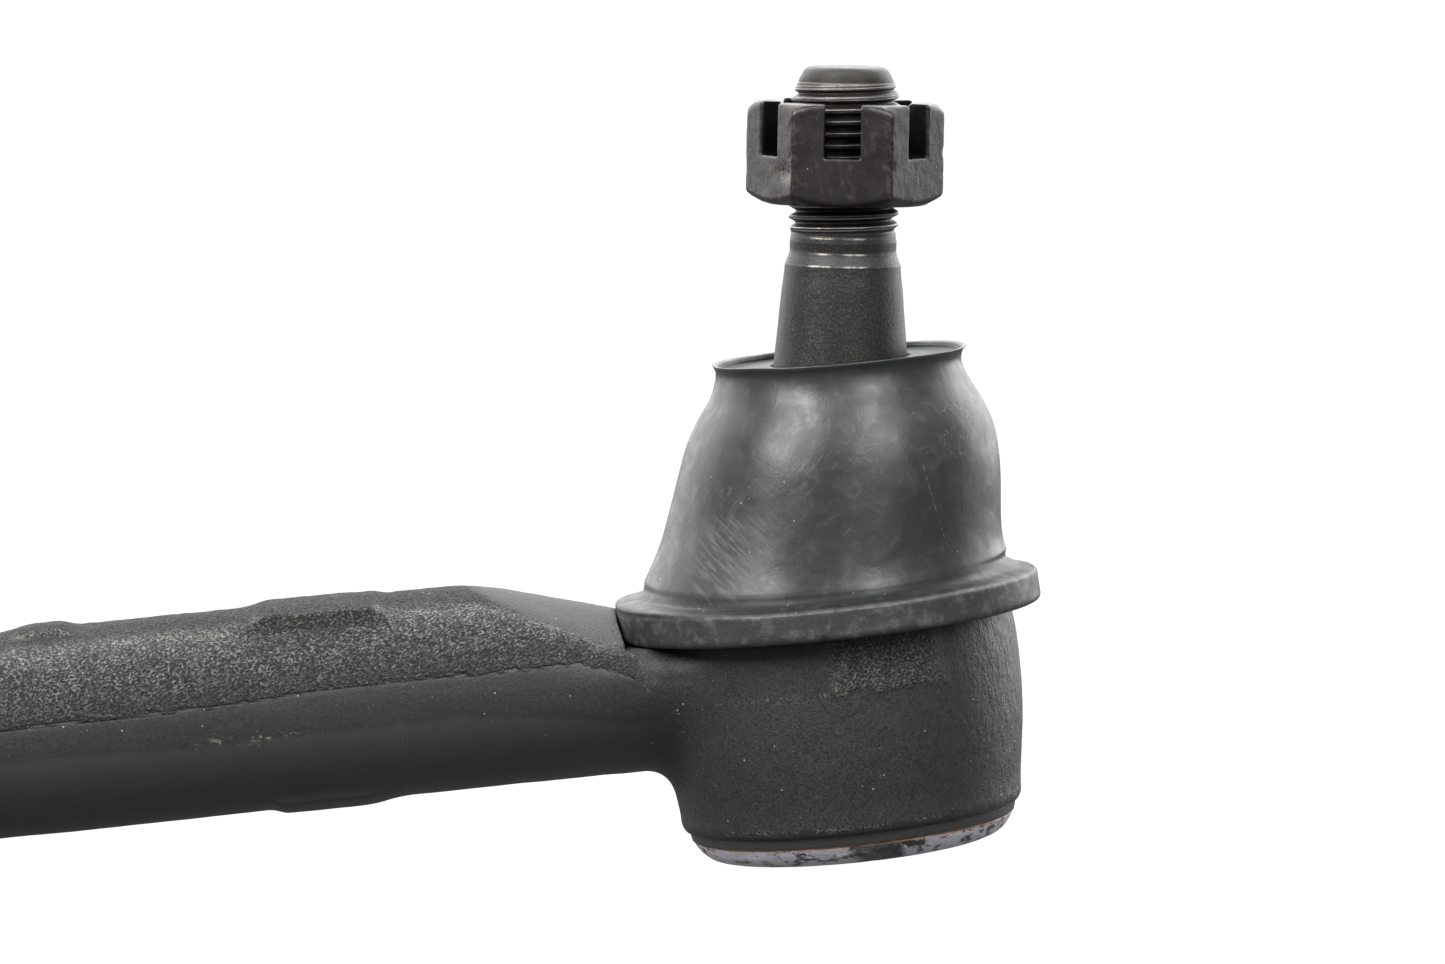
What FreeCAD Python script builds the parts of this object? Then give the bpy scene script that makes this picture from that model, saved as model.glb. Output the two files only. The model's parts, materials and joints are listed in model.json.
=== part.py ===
import FreeCAD, Part
import math
import os
import Sketcher

# Outer tie rod end: a forged arm and socket, a tapered ball stud in preloaded bearings, its dust boot and
# its castle nut. Millimetres. The ball's centre is the origin, +Z runs up the socket's axis towards the
# nut, and the arm runs to -X. The stud stands tilted by stud_lean, away from the arm. The stud and the nut
# are drawn upright in their bodies and then placed on its axis.

SIZES = {
    # how far a cut runs on past the metal, and how far two joined solids reach into each other
    "cut_past": 1.0,
    "seam": 0.01,
    # forged arm, along X
    "arm_end": 138.0,
    "arm_radius": 13.0,
    "arm_round_end": 47.0,
    "waist_from_ball": 27.0,
    "waist_half_width": 16.5,
    "waist_top": 8.0,
    "arm_root_from_ball": 14.0,
    "arm_root_half_width": 18.4,
    "arm_root_top": 3.9,
    "mark_half_width": 7.0,
    "top_mark_rise": 0.5,
    "bottom_mark_rise": 0.75,
    "mark_near": 57.0,
    "mark_far": 73.0,
    "small_mark_near": 97.0,
    "small_mark_far": 104.0,
    "small_mark_rise": 0.7,
    # thread M16 x 1.5 in the arm's end, drawn at its minor diameter
    "arm_thread_radius": 7.19,
    "arm_thread_depth": 40.0,
    "arm_edge": 1.0,
    # forged socket, about Z
    "socket_radius": 23.3,
    "socket_low_radius": 22.0,
    "socket_low": 20.9,
    "turned_radius": 20.3,
    "turned_top": 22.6,
    "rim_radius": 16.5,
    "rim_roll": 4.2,
    "rim_low": 25.6,
    "rim_inner_radius": 15.2,
    "shoulder": 4.06,
    "flange_seat": 27.4,
    "boss_radius": 19.5,
    "boss_top": 10.0,
    "boss_room": 5.0,
    "mouth_radius": 12.5,
    "cage_radius": 17.5,
    # end cap, held by the rolled rim
    "cap_radius": 18.1,
    "cap_seat": 21.8,
    "cap_thickness": 2.2,
    "cap_dish": 0.9,
    "cap_dish_radius": 11.0,
    # bearings and preload
    "ball_radius": 14.0,
    "ball_clearance": 0.04,
    "cage_clearance": 0.06,
    "upper_bearing_low": 1.2,
    "upper_bearing_cone": 3.4,
    "upper_bearing_top": 8.7,
    "lower_bearing_top": 1.6,
    "lower_bearing_low": 17.6,
    "grease_hole_radius": 3.0,
    "spring_thickness": 1.7,
    "spring_radius": 16.2,
    "spring_hole_radius": 6.0,
    # ball stud, along its own axis from the ball's centre
    "stud_lean": 7.0,
    "ball_flat": 13.4,
    "throat_radius": 7.2,
    "throat_top": 13.6,
    "throat_sweep": 22.0,
    "seal_seat_low": 21.5,
    "taper_low": 34.0,
    "taper_low_radius": 8.81,
    "taper_top": 48.8,
    "taper_top_radius": 7.47,
    "neck_low": 51.0,
    "neck_radius": 6.5,
    "thread_run_out": 0.5,
    "thread_low": 52.8,
    "thread_radius": 7.0,
    "thread_top": 72.4,
    "lead_in_radius": 6.1,
    "lead_in_edge": 0.1,
    "stud_top": 74.5,
    "stud_end_radius": 4.6,
    "cotter_hole_radius": 1.75,
    "cotter_hole_up": 66.5,
    "cotter_hole_turn": 57.2,
    # castle nut, M14 x 1.5, 22 across flats
    "nut_low": 57.0,
    "nut_height": 13.0,
    "nut_flats": 22.0,
    "nut_turn": -2.8,
    "nut_bore_radius": 7.05,
    "nut_countersink": 8.6,
    "nut_slot_width": 4.6,
    "nut_slot_depth": 7.3,
    "nut_top_edge_radius": 11.4,
    "nut_low_edge_radius": 10.2,
    "nut_top_edge": 0.9,
    "nut_low_edge": 1.35,
    # dust boot and its two rings
    "flange_radius": 27.0,
    "flange_top_radius": 26.7,
    "flange_edge": 7.7,
    "flange_slope_radius": 24.4,
    "flange_slope": 9.2,
    "base_ring_radius": 21.0,
    "base_ring_top": 9.2,
    "boot_wall": 1.8,
    "boot_root": 9.2,
    "boot_root_radius": 23.5,
    "boot_skirt": 15.0,
    "boot_skirt_radius": 22.0,
    "boot_belly": 22.0,
    "boot_belly_radius": 21.0,
    "boot_crown": 29.0,
    "boot_crown_radius": 19.0,
    "boot_neck": 34.8,
    "boot_neck_radius": 15.8,
    "boot_lip": 37.1,
    "boot_lip_radius": 16.25,
    "lip_wall": 0.9,
    # how far the boot's skirt and the rest of it have moved over with the stud, as a share of the stud
    # axis's own shift at their height
    "skirt_share": 0.46,
    "bell_share": 0.95,
    "web_low": 33.3,
    "web_top": 35.0,
    "web_hole_radius": 9.15,
    "seal_ring_low": 32.0,
    "seal_ring_inner_radius": 9.6,
    "seal_ring_radius": 12.8,
}

document = FreeCAD.newDocument("tie_rod_end")
sheet = document.addObject("Spreadsheet::Sheet", "size")
for row, (alias, value) in enumerate(SIZES.items(), start=1):
    sheet.set(f"A{row}", alias)
    sheet.set(f"B{row}", str(value))
    sheet.setAlias(f"B{row}", alias)
document.recompute()


def sized(expression):
    """An expression in the sheet's aliases, as the document writes it."""
    words = expression.replace("(", "( ").split()
    return " ".join("size." + word if word in SIZES else word for word in words)


def value_of(expression):
    """An expression's value now, in millimetres or degrees."""
    answer = sheet.evalExpression(sized(expression))
    return float(getattr(answer, "Value", answer))


def new_body(label):
    body = document.addObject("PartDesign::Body", label)
    body.Label = label
    return body


def origin_feature(body, role):
    return next(item for item in body.Origin.OriginFeatures if item.Role == role)


def new_sketch(body, name, role, offset=None):
    """A sketch on one of its body's origin planes, moved along the plane's normal by an expression."""
    sketch = body.newObject("Sketcher::SketchObject", name)
    sketch.AttachmentSupport = (origin_feature(body, role), [""])
    sketch.MapMode = "FlatFace"
    if offset:
        sketch.setExpression("AttachmentOffset.Base.z", sized(offset))
    document.recompute()
    return sketch


def hold(sketch, kind, places, expression):
    """One driven dimension of a sketch."""
    number = sketch.addConstraint(Sketcher.Constraint(kind, *places, value_of(expression)))
    sketch.setExpression(f"Constraints[{number}]", sized(expression))


def outline(sketch, corners):
    """A closed loop. A corner is (across, up), or (across, up, radius) where an arc leads to it from the
    corner before. The arc turns left along its way, or right where a fourth item says so."""
    spots = [FreeCAD.Vector(value_of(c[0]), value_of(c[1]), 0) for c in corners]
    ends = []
    for number, corner in enumerate(corners):
        start, stop = spots[number - 1], spots[number]
        if len(corner) == 2:
            line = sketch.addGeometry(Part.LineSegment(start, stop))
            ends.append((line, 1, 2))
            continue
        radius, side = value_of(corner[2]), -1 if corner[3:] else 1
        middle, chord = (start + stop) / 2, stop - start
        across = FreeCAD.Vector(-chord.y, chord.x, 0).normalize() * side
        centre = middle + across * math.sqrt(max(radius**2 - (chord.Length / 2) ** 2, 0))
        first, last = (start, stop) if side > 0 else (stop, start)
        angles = [math.atan2((p - centre).y, (p - centre).x) for p in (first, last)]
        if angles[1] < angles[0]:
            angles[1] += 2 * math.pi
        circle = Part.Circle(centre, FreeCAD.Vector(0, 0, 1), radius)
        arc = sketch.addGeometry(Part.ArcOfCircle(circle, *angles))
        ends.append((arc, 1, 2) if side > 0 else (arc, 2, 1))
        hold(sketch, "Radius", (arc,), corner[2])
    for number, (edge, start, stop) in enumerate(ends):
        following = ends[(number + 1) % len(ends)]
        sketch.addConstraint(Sketcher.Constraint("Coincident", edge, stop, following[0], following[1]))
        hold(sketch, "DistanceX", (-1, 1, edge, stop), corners[number][0])
        hold(sketch, "DistanceY", (-1, 1, edge, stop), corners[number][1])


def circle(sketch, radius, across="0"):
    """A circle centred on the sketch's horizontal axis."""
    centre = FreeCAD.Vector(value_of(across), 0, 0)
    ring = sketch.addGeometry(Part.Circle(centre, FreeCAD.Vector(0, 0, 1), value_of(radius)))
    hold(sketch, "Radius", (ring,), radius)
    hold(sketch, "DistanceX", (-1, 1, ring, 3), across)
    hold(sketch, "DistanceY", (-1, 1, ring, 3), "0")


def revolve(body, name, corners, cut=False):
    """Turns an outline in the XZ plane about Z."""
    sketch = new_sketch(body, name + "_sketch", "XZ_Plane")
    outline(sketch, corners)
    feature = body.newObject("PartDesign::Groove" if cut else "PartDesign::Revolution", name)
    feature.Profile = sketch
    feature.ReferenceAxis = (sketch, ["V_Axis"])
    feature.Angle = 360
    document.recompute()
    return feature


def extrude(body, name, sketch, length, cut=False, reverse=False):
    feature = body.newObject("PartDesign::Pocket" if cut else "PartDesign::Pad", name)
    feature.Profile = sketch
    feature.setExpression("Length", sized(length))
    feature.Reversed = reverse
    document.recompute()
    return feature


def loft(body, name, sketches, cut=False, ruled=False):
    feature = body.newObject("PartDesign::SubtractiveLoft" if cut else "PartDesign::AdditiveLoft", name)
    feature.Profile = sketches[0]
    feature.Sections = sketches[1:]
    feature.Ruled = ruled
    document.recompute()
    return feature


def on_stud(body, turn="0"):
    """Places a body on the leaning stud's axis, turned about that axis by an expression in degrees."""
    lean = FreeCAD.Rotation(FreeCAD.Vector(0, 1, 0), value_of("stud_lean"))
    own_turn = FreeCAD.Rotation(FreeCAD.Vector(0, 0, 1), value_of(turn))
    body.Placement = FreeCAD.Placement(FreeCAD.Vector(0, 0, 0), lean * own_turn)


def arm_section(body, name, from_ball, half_width, top):
    """An ellipse across the arm whose lowest point stays on the arm's straight underside."""
    sketch = new_sketch(body, name, "YZ_Plane", "- " + from_ball)
    middle = f"( {top} - arm_radius ) / 2"
    centre = FreeCAD.Vector(0, value_of(middle), 0)
    side = centre + FreeCAD.Vector(value_of(half_width), 0, 0)
    crown = FreeCAD.Vector(0, value_of(top), 0)
    oval = sketch.addGeometry(Part.Ellipse(side, crown, centre))
    sketch.exposeInternalGeometry(oval)
    long_axis, short_axis = oval + 1, oval + 2
    hold(sketch, "DistanceX", (-1, 1, oval, 3), "0")
    hold(sketch, "DistanceY", (-1, 1, oval, 3), middle)
    sketch.addConstraint(Sketcher.Constraint("Horizontal", long_axis))
    hold(sketch, "Distance", (long_axis,), f"2 * {half_width}")
    hold(sketch, "Distance", (short_axis,), f"{top} + arm_radius")
    document.recompute()
    return sketch


def forging_mark(body, name, near, far, rise, below=False):
    """A flat raised patch on the round arm, grown out from the arm's middle plane."""
    sketch = new_sketch(body, name + "_sketch", "XY_Plane")
    outline(sketch, [(f"- {far}", "- mark_half_width"), (f"- {near}", "- mark_half_width"),
                     (f"- {near}", "mark_half_width"), (f"- {far}", "mark_half_width")])
    extrude(body, name, sketch, f"arm_radius + {rise}", reverse=below)


def socket_housing():
    body = new_body("socket_housing")
    barrel = new_sketch(body, "barrel_sketch", "YZ_Plane", "- arm_end")
    circle(barrel, "arm_radius")
    barrel_pad = extrude(body, "barrel", barrel, "arm_end - arm_round_end")
    end_edges = [f"Edge{number}" for number, edge in enumerate(barrel_pad.Shape.Edges, start=1)
                 if edge.BoundBox.XMax < value_of("seam - arm_end")]
    chamfer = body.newObject("PartDesign::Chamfer", "end_chamfer")
    chamfer.Base = (barrel_pad, end_edges)
    chamfer.setExpression("Size", sized("arm_edge"))
    document.recompute()
    flare_start = new_sketch(body, "flare_start", "YZ_Plane", "- arm_round_end")
    circle(flare_start, "arm_radius")
    loft(body, "arm_flare", [
        flare_start,
        arm_section(body, "flare_waist", "waist_from_ball", "waist_half_width", "waist_top"),
        arm_section(body, "flare_root", "arm_root_from_ball", "arm_root_half_width", "arm_root_top"),
    ], ruled=True)
    revolve(body, "socket", [
        ("0", "- rim_low"), ("rim_radius", "- rim_low"),
        ("turned_radius", "- turned_top", "rim_roll"),
        ("socket_low_radius", "- socket_low"), ("socket_radius", "- shoulder"),
        ("socket_radius", "shoulder"), ("boss_radius", "shoulder"),
        ("boss_radius", "boss_top"), ("0", "boss_top"),
    ])
    # the arm's slope ends in a step at the flat that the boot's flange sits on
    seat = new_sketch(body, "flange_seat_sketch", "XY_Plane", "shoulder")
    outline(seat, [("- flange_seat", "- flange_seat"), ("flange_seat", "- flange_seat"),
                   ("flange_seat", "flange_seat"), ("- flange_seat", "flange_seat")])
    circle(seat, "boss_radius")
    extrude(body, "flange_seat", seat, "boss_top + boss_room - shoulder", cut=True, reverse=True)
    forging_mark(body, "top_mark", "mark_near", "mark_far", "top_mark_rise")
    forging_mark(body, "bottom_mark", "mark_near", "mark_far", "bottom_mark_rise", below=True)
    forging_mark(body, "small_mark", "small_mark_near", "small_mark_far", "small_mark_rise")
    revolve(body, "ball_cavity", [
        ("0", "- rim_low - cut_past"), ("rim_inner_radius", "- rim_low - cut_past"),
        ("rim_inner_radius", "- cap_seat - cap_thickness"), ("cap_radius", "- cap_seat - cap_thickness"),
        ("cap_radius", "- cap_seat"), ("cage_radius", "- cap_seat"), ("cage_radius", "upper_bearing_cone"),
        ("mouth_radius", "upper_bearing_top"), ("mouth_radius", "boss_top + cut_past"),
        ("0", "boss_top + cut_past"),
    ], cut=True)
    thread = new_sketch(body, "arm_thread_sketch", "YZ_Plane", "- arm_end")
    circle(thread, "arm_thread_radius")
    extrude(body, "arm_thread", thread, "arm_thread_depth", cut=True, reverse=True)
    return body


def end_cap():
    body = new_body("end_cap")
    revolve(body, "disc", [
        ("0", "- cap_seat - cap_thickness + cap_dish"),
        ("cap_dish_radius - cap_thickness", "- cap_seat - cap_thickness + cap_dish"),
        ("cap_dish_radius", "- cap_seat - cap_thickness"), ("cap_radius", "- cap_seat - cap_thickness"),
        ("cap_radius", "- cap_seat"), ("0", "- cap_seat"),
    ])
    return body


def upper_bearing():
    """The half seat that keeps the ball in: a sphere inside, the cage's cylinder and cone outside."""
    body = new_body("upper_bearing")
    seat = "( ball_radius + ball_clearance )"
    revolve(body, "seat", [
        ("cage_radius", "upper_bearing_low"), ("cage_radius", "upper_bearing_cone"),
        ("mouth_radius", "upper_bearing_top"),
        (f"sqrt( {seat} ^ 2 - upper_bearing_top ^ 2 )", "upper_bearing_top"),
        (f"sqrt( {seat} ^ 2 - upper_bearing_low ^ 2 )", "upper_bearing_low", seat, "right"),
    ])
    return body


def lower_bearing():
    """The pressure seat under the ball, free to slide and turn in the cage, with a grease hole."""
    body = new_body("lower_bearing")
    seat = "( ball_radius + ball_clearance )"
    outer = "cage_radius - cage_clearance"
    revolve(body, "seat", [
        ("grease_hole_radius", "- lower_bearing_low"), (outer, "- lower_bearing_low"),
        (outer, "- lower_bearing_top"),
        (f"sqrt( {seat} ^ 2 - lower_bearing_top ^ 2 )", "- lower_bearing_top"),
        ("grease_hole_radius", f"- sqrt( {seat} ^ 2 - grease_hole_radius ^ 2 )", seat, "right"),
    ])
    return body


def preload_spring():
    """A coned disc spring between the end cap and the lower bearing."""
    body = new_body("preload_spring")
    revolve(body, "cone", [
        ("spring_hole_radius", "- lower_bearing_low"),
        ("spring_hole_radius", "- lower_bearing_low - spring_thickness"),
        ("spring_radius", "- cap_seat"), ("spring_radius", "- cap_seat + spring_thickness"),
    ])
    return body


def ball_stud():
    body = new_body("ball_stud")
    revolve(body, "stud", [
        ("0", "- ball_flat"), ("sqrt( ball_radius ^ 2 - ball_flat ^ 2 )", "- ball_flat"),
        ("throat_radius", "sqrt( ball_radius ^ 2 - throat_radius ^ 2 )", "ball_radius"),
        ("throat_radius", "throat_top"),
        ("taper_low_radius", "seal_seat_low", "throat_sweep", "right"),
        ("taper_low_radius", "taper_low"), ("taper_top_radius", "taper_top"),
        ("neck_radius", "neck_low"), ("neck_radius", "thread_low - thread_run_out"),
        ("thread_radius", "thread_low"), ("thread_radius", "thread_top"),
        ("lead_in_radius", "thread_top + lead_in_edge"), ("stud_end_radius", "stud_top"), ("0", "stud_top"),
    ])
    drill = new_sketch(body, "cotter_hole_sketch", "XZ_Plane")
    hole = drill.addGeometry(Part.Circle(FreeCAD.Vector(0, value_of("cotter_hole_up"), 0),
                                         FreeCAD.Vector(0, 0, 1), value_of("cotter_hole_radius")))
    hold(drill, "Radius", (hole,), "cotter_hole_radius")
    hold(drill, "DistanceX", (-1, 1, hole, 3), "0")
    hold(drill, "DistanceY", (-1, 1, hole, 3), "cotter_hole_up")
    pocket = extrude(body, "cotter_hole", drill, "4 * thread_radius", cut=True)
    pocket.Midplane = True
    on_stud(body, "cotter_hole_turn")
    return body


def castle_nut():
    body = new_body("castle_nut")
    blank = new_sketch(body, "hexagon_sketch", "XY_Plane", "nut_low")
    outline(blank, hexagon("nut_flats / 2"))
    extrude(body, "hexagon", blank, "nut_height")
    top = "( nut_low + nut_height )"
    beyond = "nut_flats"
    corner = "nut_flats / sqrt( 3 )"
    top_fall = f"nut_top_edge * ( {beyond} - nut_top_edge_radius ) / ( {corner} - nut_top_edge_radius )"
    low_rise = f"nut_low_edge * ( {beyond} - nut_low_edge_radius ) / ( {corner} - nut_low_edge_radius )"
    revolve(body, "top_corners", [
        ("nut_top_edge_radius", top), (beyond, top), (beyond, f"{top} - {top_fall}"),
    ], cut=True)
    revolve(body, "low_corners", [
        ("nut_low_edge_radius", "nut_low"), (beyond, f"nut_low + {low_rise}"), (beyond, "nut_low"),
    ], cut=True)
    revolve(body, "bore", [
        ("0", "nut_low - cut_past"), ("nut_bore_radius", "nut_low - cut_past"),
        ("nut_bore_radius", f"{top} - nut_countersink + nut_bore_radius"),
        ("nut_countersink", top), ("nut_countersink", f"{top} + cut_past"), ("0", f"{top} + cut_past"),
    ], cut=True)
    slot = new_sketch(body, "slot_sketch", "XY_Plane", "nut_low + nut_height")
    half = "nut_slot_width / 2"
    outline(slot, [("- " + half, "- nut_flats"), (half, "- nut_flats"), (half, "0"), ("- " + half, "0")])
    slots = extrude(body, "slot", slot, "nut_slot_depth", cut=True)
    ring = body.newObject("PartDesign::PolarPattern", "slots")
    ring.Originals = [slots]
    ring.Axis = (slot, ["N_Axis"])
    ring.Angle = 360
    ring.Occurrences = 6
    body.Tip = ring
    document.recompute()
    on_stud(body, "nut_turn")
    return body


def hexagon(apothem):
    """A hexagon's corners about the origin, two of its sides parallel to the sketch's horizontal axis."""
    reach, half = f"2 * {apothem} / sqrt( 3 )", f"{apothem} / sqrt( 3 )"
    return [(reach, "0"), (half, apothem), ("- " + half, apothem), ("- " + reach, "0"),
            ("- " + half, "- " + apothem), (half, "- " + apothem)]


def boot_shift(height, share):
    """How far a level of the boot has moved over with the stud."""
    return f"( {height} ) * tan( stud_lean * 1deg ) * {share}"


def boot_section(body, name, height, radius, share):
    sketch = new_sketch(body, name, "XY_Plane", height)
    circle(sketch, radius, boot_shift(height, share))
    document.recompute()
    return sketch


def dust_boot():
    """A bell of rubber on a thick base flange, with a web round the stud inside its flared lip."""
    body = new_body("dust_boot")
    revolve(body, "flange", [
        ("base_ring_radius", "shoulder"), ("flange_radius", "shoulder"),
        ("flange_top_radius", "flange_edge"), ("flange_slope_radius", "flange_slope"),
        ("base_ring_radius", "flange_slope"),
    ])
    levels = [("root", "boot_root - seam", "boot_root_radius", "0"),
              ("skirt", "boot_skirt", "boot_skirt_radius", "skirt_share"),
              ("belly", "boot_belly", "boot_belly_radius", "bell_share"),
              ("crown", "boot_crown", "boot_crown_radius", "bell_share"),
              ("neck", "boot_neck", "boot_neck_radius", "bell_share"),
              ("lip", "boot_lip", "boot_lip_radius", "bell_share")]
    loft(body, "bell", [boot_section(body, name + "_out", height, radius, share)
                        for name, height, radius, share in levels], ruled=True)
    inner = levels[:4] + [("under_web", "web_low", "boot_neck_radius", "bell_share")]
    loft(body, "hollow", [boot_section(body, name + "_in", height, radius + " - boot_wall", share)
                          for name, height, radius, share in inner], cut=True, ruled=True)
    loft(body, "lip_cup", [
        boot_section(body, "cup_low", "web_top", "boot_neck_radius - boot_wall", "bell_share"),
        boot_section(body, "cup_top", "boot_lip + seam", "boot_lip_radius - lip_wall", "bell_share"),
    ], cut=True)
    hole = boot_section(body, "web_hole_sketch", "web_top", "web_hole_radius", "1")
    extrude(body, "web_hole", hole, "web_top - web_low", cut=True)
    return body


def boot_base_ring():
    """The steel ring inside the boot's flange, pressed on the socket's boss."""
    body = new_body("boot_base_ring")
    revolve(body, "ring", [
        ("boss_radius", "shoulder"), ("base_ring_radius", "shoulder"),
        ("base_ring_radius", "base_ring_top"), ("boss_radius", "base_ring_top"),
    ])
    return body


def boot_seal_ring():
    """The stiffening ring bonded under the boot's web, round the stud."""
    body = new_body("boot_seal_ring")
    blank = boot_section(body, "ring_sketch", "seal_ring_low", "seal_ring_radius", "bell_share")
    circle(blank, "seal_ring_inner_radius", boot_shift("web_low", "1"))
    extrude(body, "ring", blank, "web_low - seal_ring_low")
    return body


bodies = [
    socket_housing(), end_cap(), upper_bearing(), lower_bearing(), preload_spring(),
    ball_stud(), castle_nut(), dust_boot(), boot_base_ring(), boot_seal_ring(),
]
document.recompute()
faults = [item.Name for item in document.Objects if {"Invalid", "Error"} & set(item.State)]
for body in bodies:
    if body.Shape.isNull() or not body.Shape.isValid() or len(body.Shape.Solids) != 1:
        faults.append(body.Label)
if faults:
    raise RuntimeError(f"these did not build: {faults}")
os.makedirs("parts", exist_ok=True)
for body in bodies:
    print(body.Label, round(body.Shape.Volume), body.Shape.BoundBox)
    body.Shape.exportStep(os.path.join("parts", body.Label + ".step"))
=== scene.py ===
import json
import math

import bpy
import numpy as np
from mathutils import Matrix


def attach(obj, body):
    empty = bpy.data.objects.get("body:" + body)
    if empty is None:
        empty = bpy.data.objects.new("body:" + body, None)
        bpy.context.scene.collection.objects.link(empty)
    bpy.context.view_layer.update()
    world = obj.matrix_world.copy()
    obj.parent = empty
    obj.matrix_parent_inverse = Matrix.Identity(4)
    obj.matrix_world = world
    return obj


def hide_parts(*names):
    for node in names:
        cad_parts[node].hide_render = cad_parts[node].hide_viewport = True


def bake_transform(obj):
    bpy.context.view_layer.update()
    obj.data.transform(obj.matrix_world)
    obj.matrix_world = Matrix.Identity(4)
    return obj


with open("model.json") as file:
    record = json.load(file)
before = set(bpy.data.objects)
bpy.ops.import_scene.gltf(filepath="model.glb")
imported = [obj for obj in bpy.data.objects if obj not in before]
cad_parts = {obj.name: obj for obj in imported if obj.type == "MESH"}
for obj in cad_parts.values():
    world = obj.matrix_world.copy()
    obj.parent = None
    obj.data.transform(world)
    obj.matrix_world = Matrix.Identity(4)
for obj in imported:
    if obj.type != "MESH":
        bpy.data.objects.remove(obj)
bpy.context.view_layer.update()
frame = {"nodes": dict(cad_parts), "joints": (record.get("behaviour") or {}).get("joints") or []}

import openvdb
from mathutils import Matrix, Vector

# Lengths are in millimetres in the row's frame until make_object() and aim() turn them into metres. The
# ball's centre is the origin, +Z runs up the socket's axis, the arm runs to -X, and the stud leans to +X.
MM = 0.001
scene = bpy.context.scene
spin = next(joint for joint in frame["joints"] if joint["name"] == "stud_spin")
LEAN = math.atan2(spin["axis"][0], spin["axis"][2])

# -------- how it stands, camera, floor and light
# The part rests on its rim and on the arm's far end, so the bench is tipped about Y against the row's frame.
TIP = math.radians(5.95)
BENCH_BELOW_BALL = 27.25
CAMERA_ABOVE = math.radians(5.2)
CAMERA_DISTANCE = 1077.0
CAMERA_TARGET = np.array([-12.15, 0.0, 22.72])
SOFTBOX_DISTANCE, SOFTBOX_TARGET = 800.0, np.array([0.0, 0.0, 20.0])
bench_up = np.array([math.sin(TIP), 0.0, math.cos(TIP)])
bench_right = np.array([math.cos(TIP), 0.0, -math.sin(TIP)])
away = np.array([0.0, 1.0, 0.0])


def aim(obj, eye, target, up):
    """Stands an object at eye with its -Z towards target and its Y as near to up as it can be."""
    back = (np.array(eye) - np.array(target)) / np.linalg.norm(np.array(eye) - np.array(target))
    right = np.cross(up, back)
    right /= np.linalg.norm(right)
    over = np.cross(back, right)
    turn = Matrix([[right[i], over[i], back[i]] for i in range(3)]).to_4x4()
    obj.matrix_world = Matrix.Translation(Vector(eye) * MM) @ turn


forward = math.cos(CAMERA_ABOVE) * away - math.sin(CAMERA_ABOVE) * bench_up
camera_data = bpy.data.cameras.new("camera")
camera_data.sensor_width = 36.0
camera_data.lens = 209.8
camera_data.clip_start = 0.05
camera_data.clip_end = 50.0
camera = bpy.data.objects.new("camera", camera_data)
scene.collection.objects.link(camera)
aim(camera, CAMERA_TARGET - forward * CAMERA_DISTANCE, CAMERA_TARGET, bench_up)
scene.camera = camera
scene.view_settings.view_transform = "Standard"


def softbox(name, azimuth, elevation, width, height, power):
    """A soft area light. Azimuth 0 is the camera's, positive to its right; elevation is above the bench."""
    a, e = math.radians(azimuth), math.radians(elevation)
    level = -math.cos(a) * away + math.sin(a) * bench_right
    place = math.cos(e) * level + math.sin(e) * bench_up
    data = bpy.data.lights.new(name, "AREA")
    data.shape = "RECTANGLE"
    data.size = width * MM
    data.size_y = height * MM
    data.energy = power
    light = bpy.data.objects.new(name, data)
    scene.collection.objects.link(light)
    aim(light, SOFTBOX_TARGET + place * SOFTBOX_DISTANCE, SOFTBOX_TARGET, bench_up)


softbox("left_softbox", -50, 42, 230, 560, 9.5)
softbox("right_softbox", 28, 42, 200, 560, 6.0)
softbox("top_softbox", 178, 42, 1300, 330, 6.0)
softbox("left_rim_light", -125, 12, 560, 620, 0.9)
softbox("right_rim_light", 132, 12, 620, 620, 2.3)


def add_node(tree, kind, inputs=None, **settings):
    """A new node with its settings and its inputs, each a number or another node's output."""
    node = tree.nodes.new(kind)
    for name, value in settings.items():
        setattr(node, name, value)
    for name, value in (inputs or {}).items():
        if hasattr(value, "links"):
            tree.links.new(value, node.inputs[name])
        else:
            node.inputs[name].default_value = value
    return node


world = bpy.data.worlds.new("studio")
world.use_nodes = True
scene.world = world
sky = world.node_tree
sky.nodes.clear()
WHITE = (1.0, 1.0, 1.0, 1.0)
way = add_node(sky, "ShaderNodeTexCoord").outputs["Generated"]
depth = add_node(sky, "ShaderNodeSeparateXYZ", {0: way}).outputs["Y"]
ramp = {"Value": depth, "From Min": -0.05, "From Max": 0.72, "To Min": 0.27, "To Max": 2.5}
strength = add_node(sky, "ShaderNodeMapRange", ramp, interpolation_type="SMOOTHSTEP").outputs[0]
lit = add_node(sky, "ShaderNodeBackground", {"Color": WHITE, "Strength": strength}).outputs[0]
backdrop = add_node(sky, "ShaderNodeBackground", {"Color": WHITE, "Strength": 1.05}).outputs[0]
seen = add_node(sky, "ShaderNodeLightPath").outputs["Is Camera Ray"]
both = add_node(sky, "ShaderNodeMixShader", {0: seen, 1: lit, 2: backdrop}).outputs[0]
add_node(sky, "ShaderNodeOutputWorld", {0: both})


# -------- node materials
class Value:
    """One output of a node in a Look. Arithmetic on it adds math nodes."""

    def __init__(self, look, socket):
        self.look, self.socket = look, socket

    def __mul__(self, other):
        return self.look.math("MULTIPLY", self, other)

    def __add__(self, other):
        return self.look.math("ADD", self, other)

    def __sub__(self, other):
        return self.look.math("SUBTRACT", self, other)

    def __rsub__(self, other):
        return self.look.math("SUBTRACT", other, self)

    def __abs__(self):
        return self.look.math("ABSOLUTE", self, 0.0)


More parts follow.
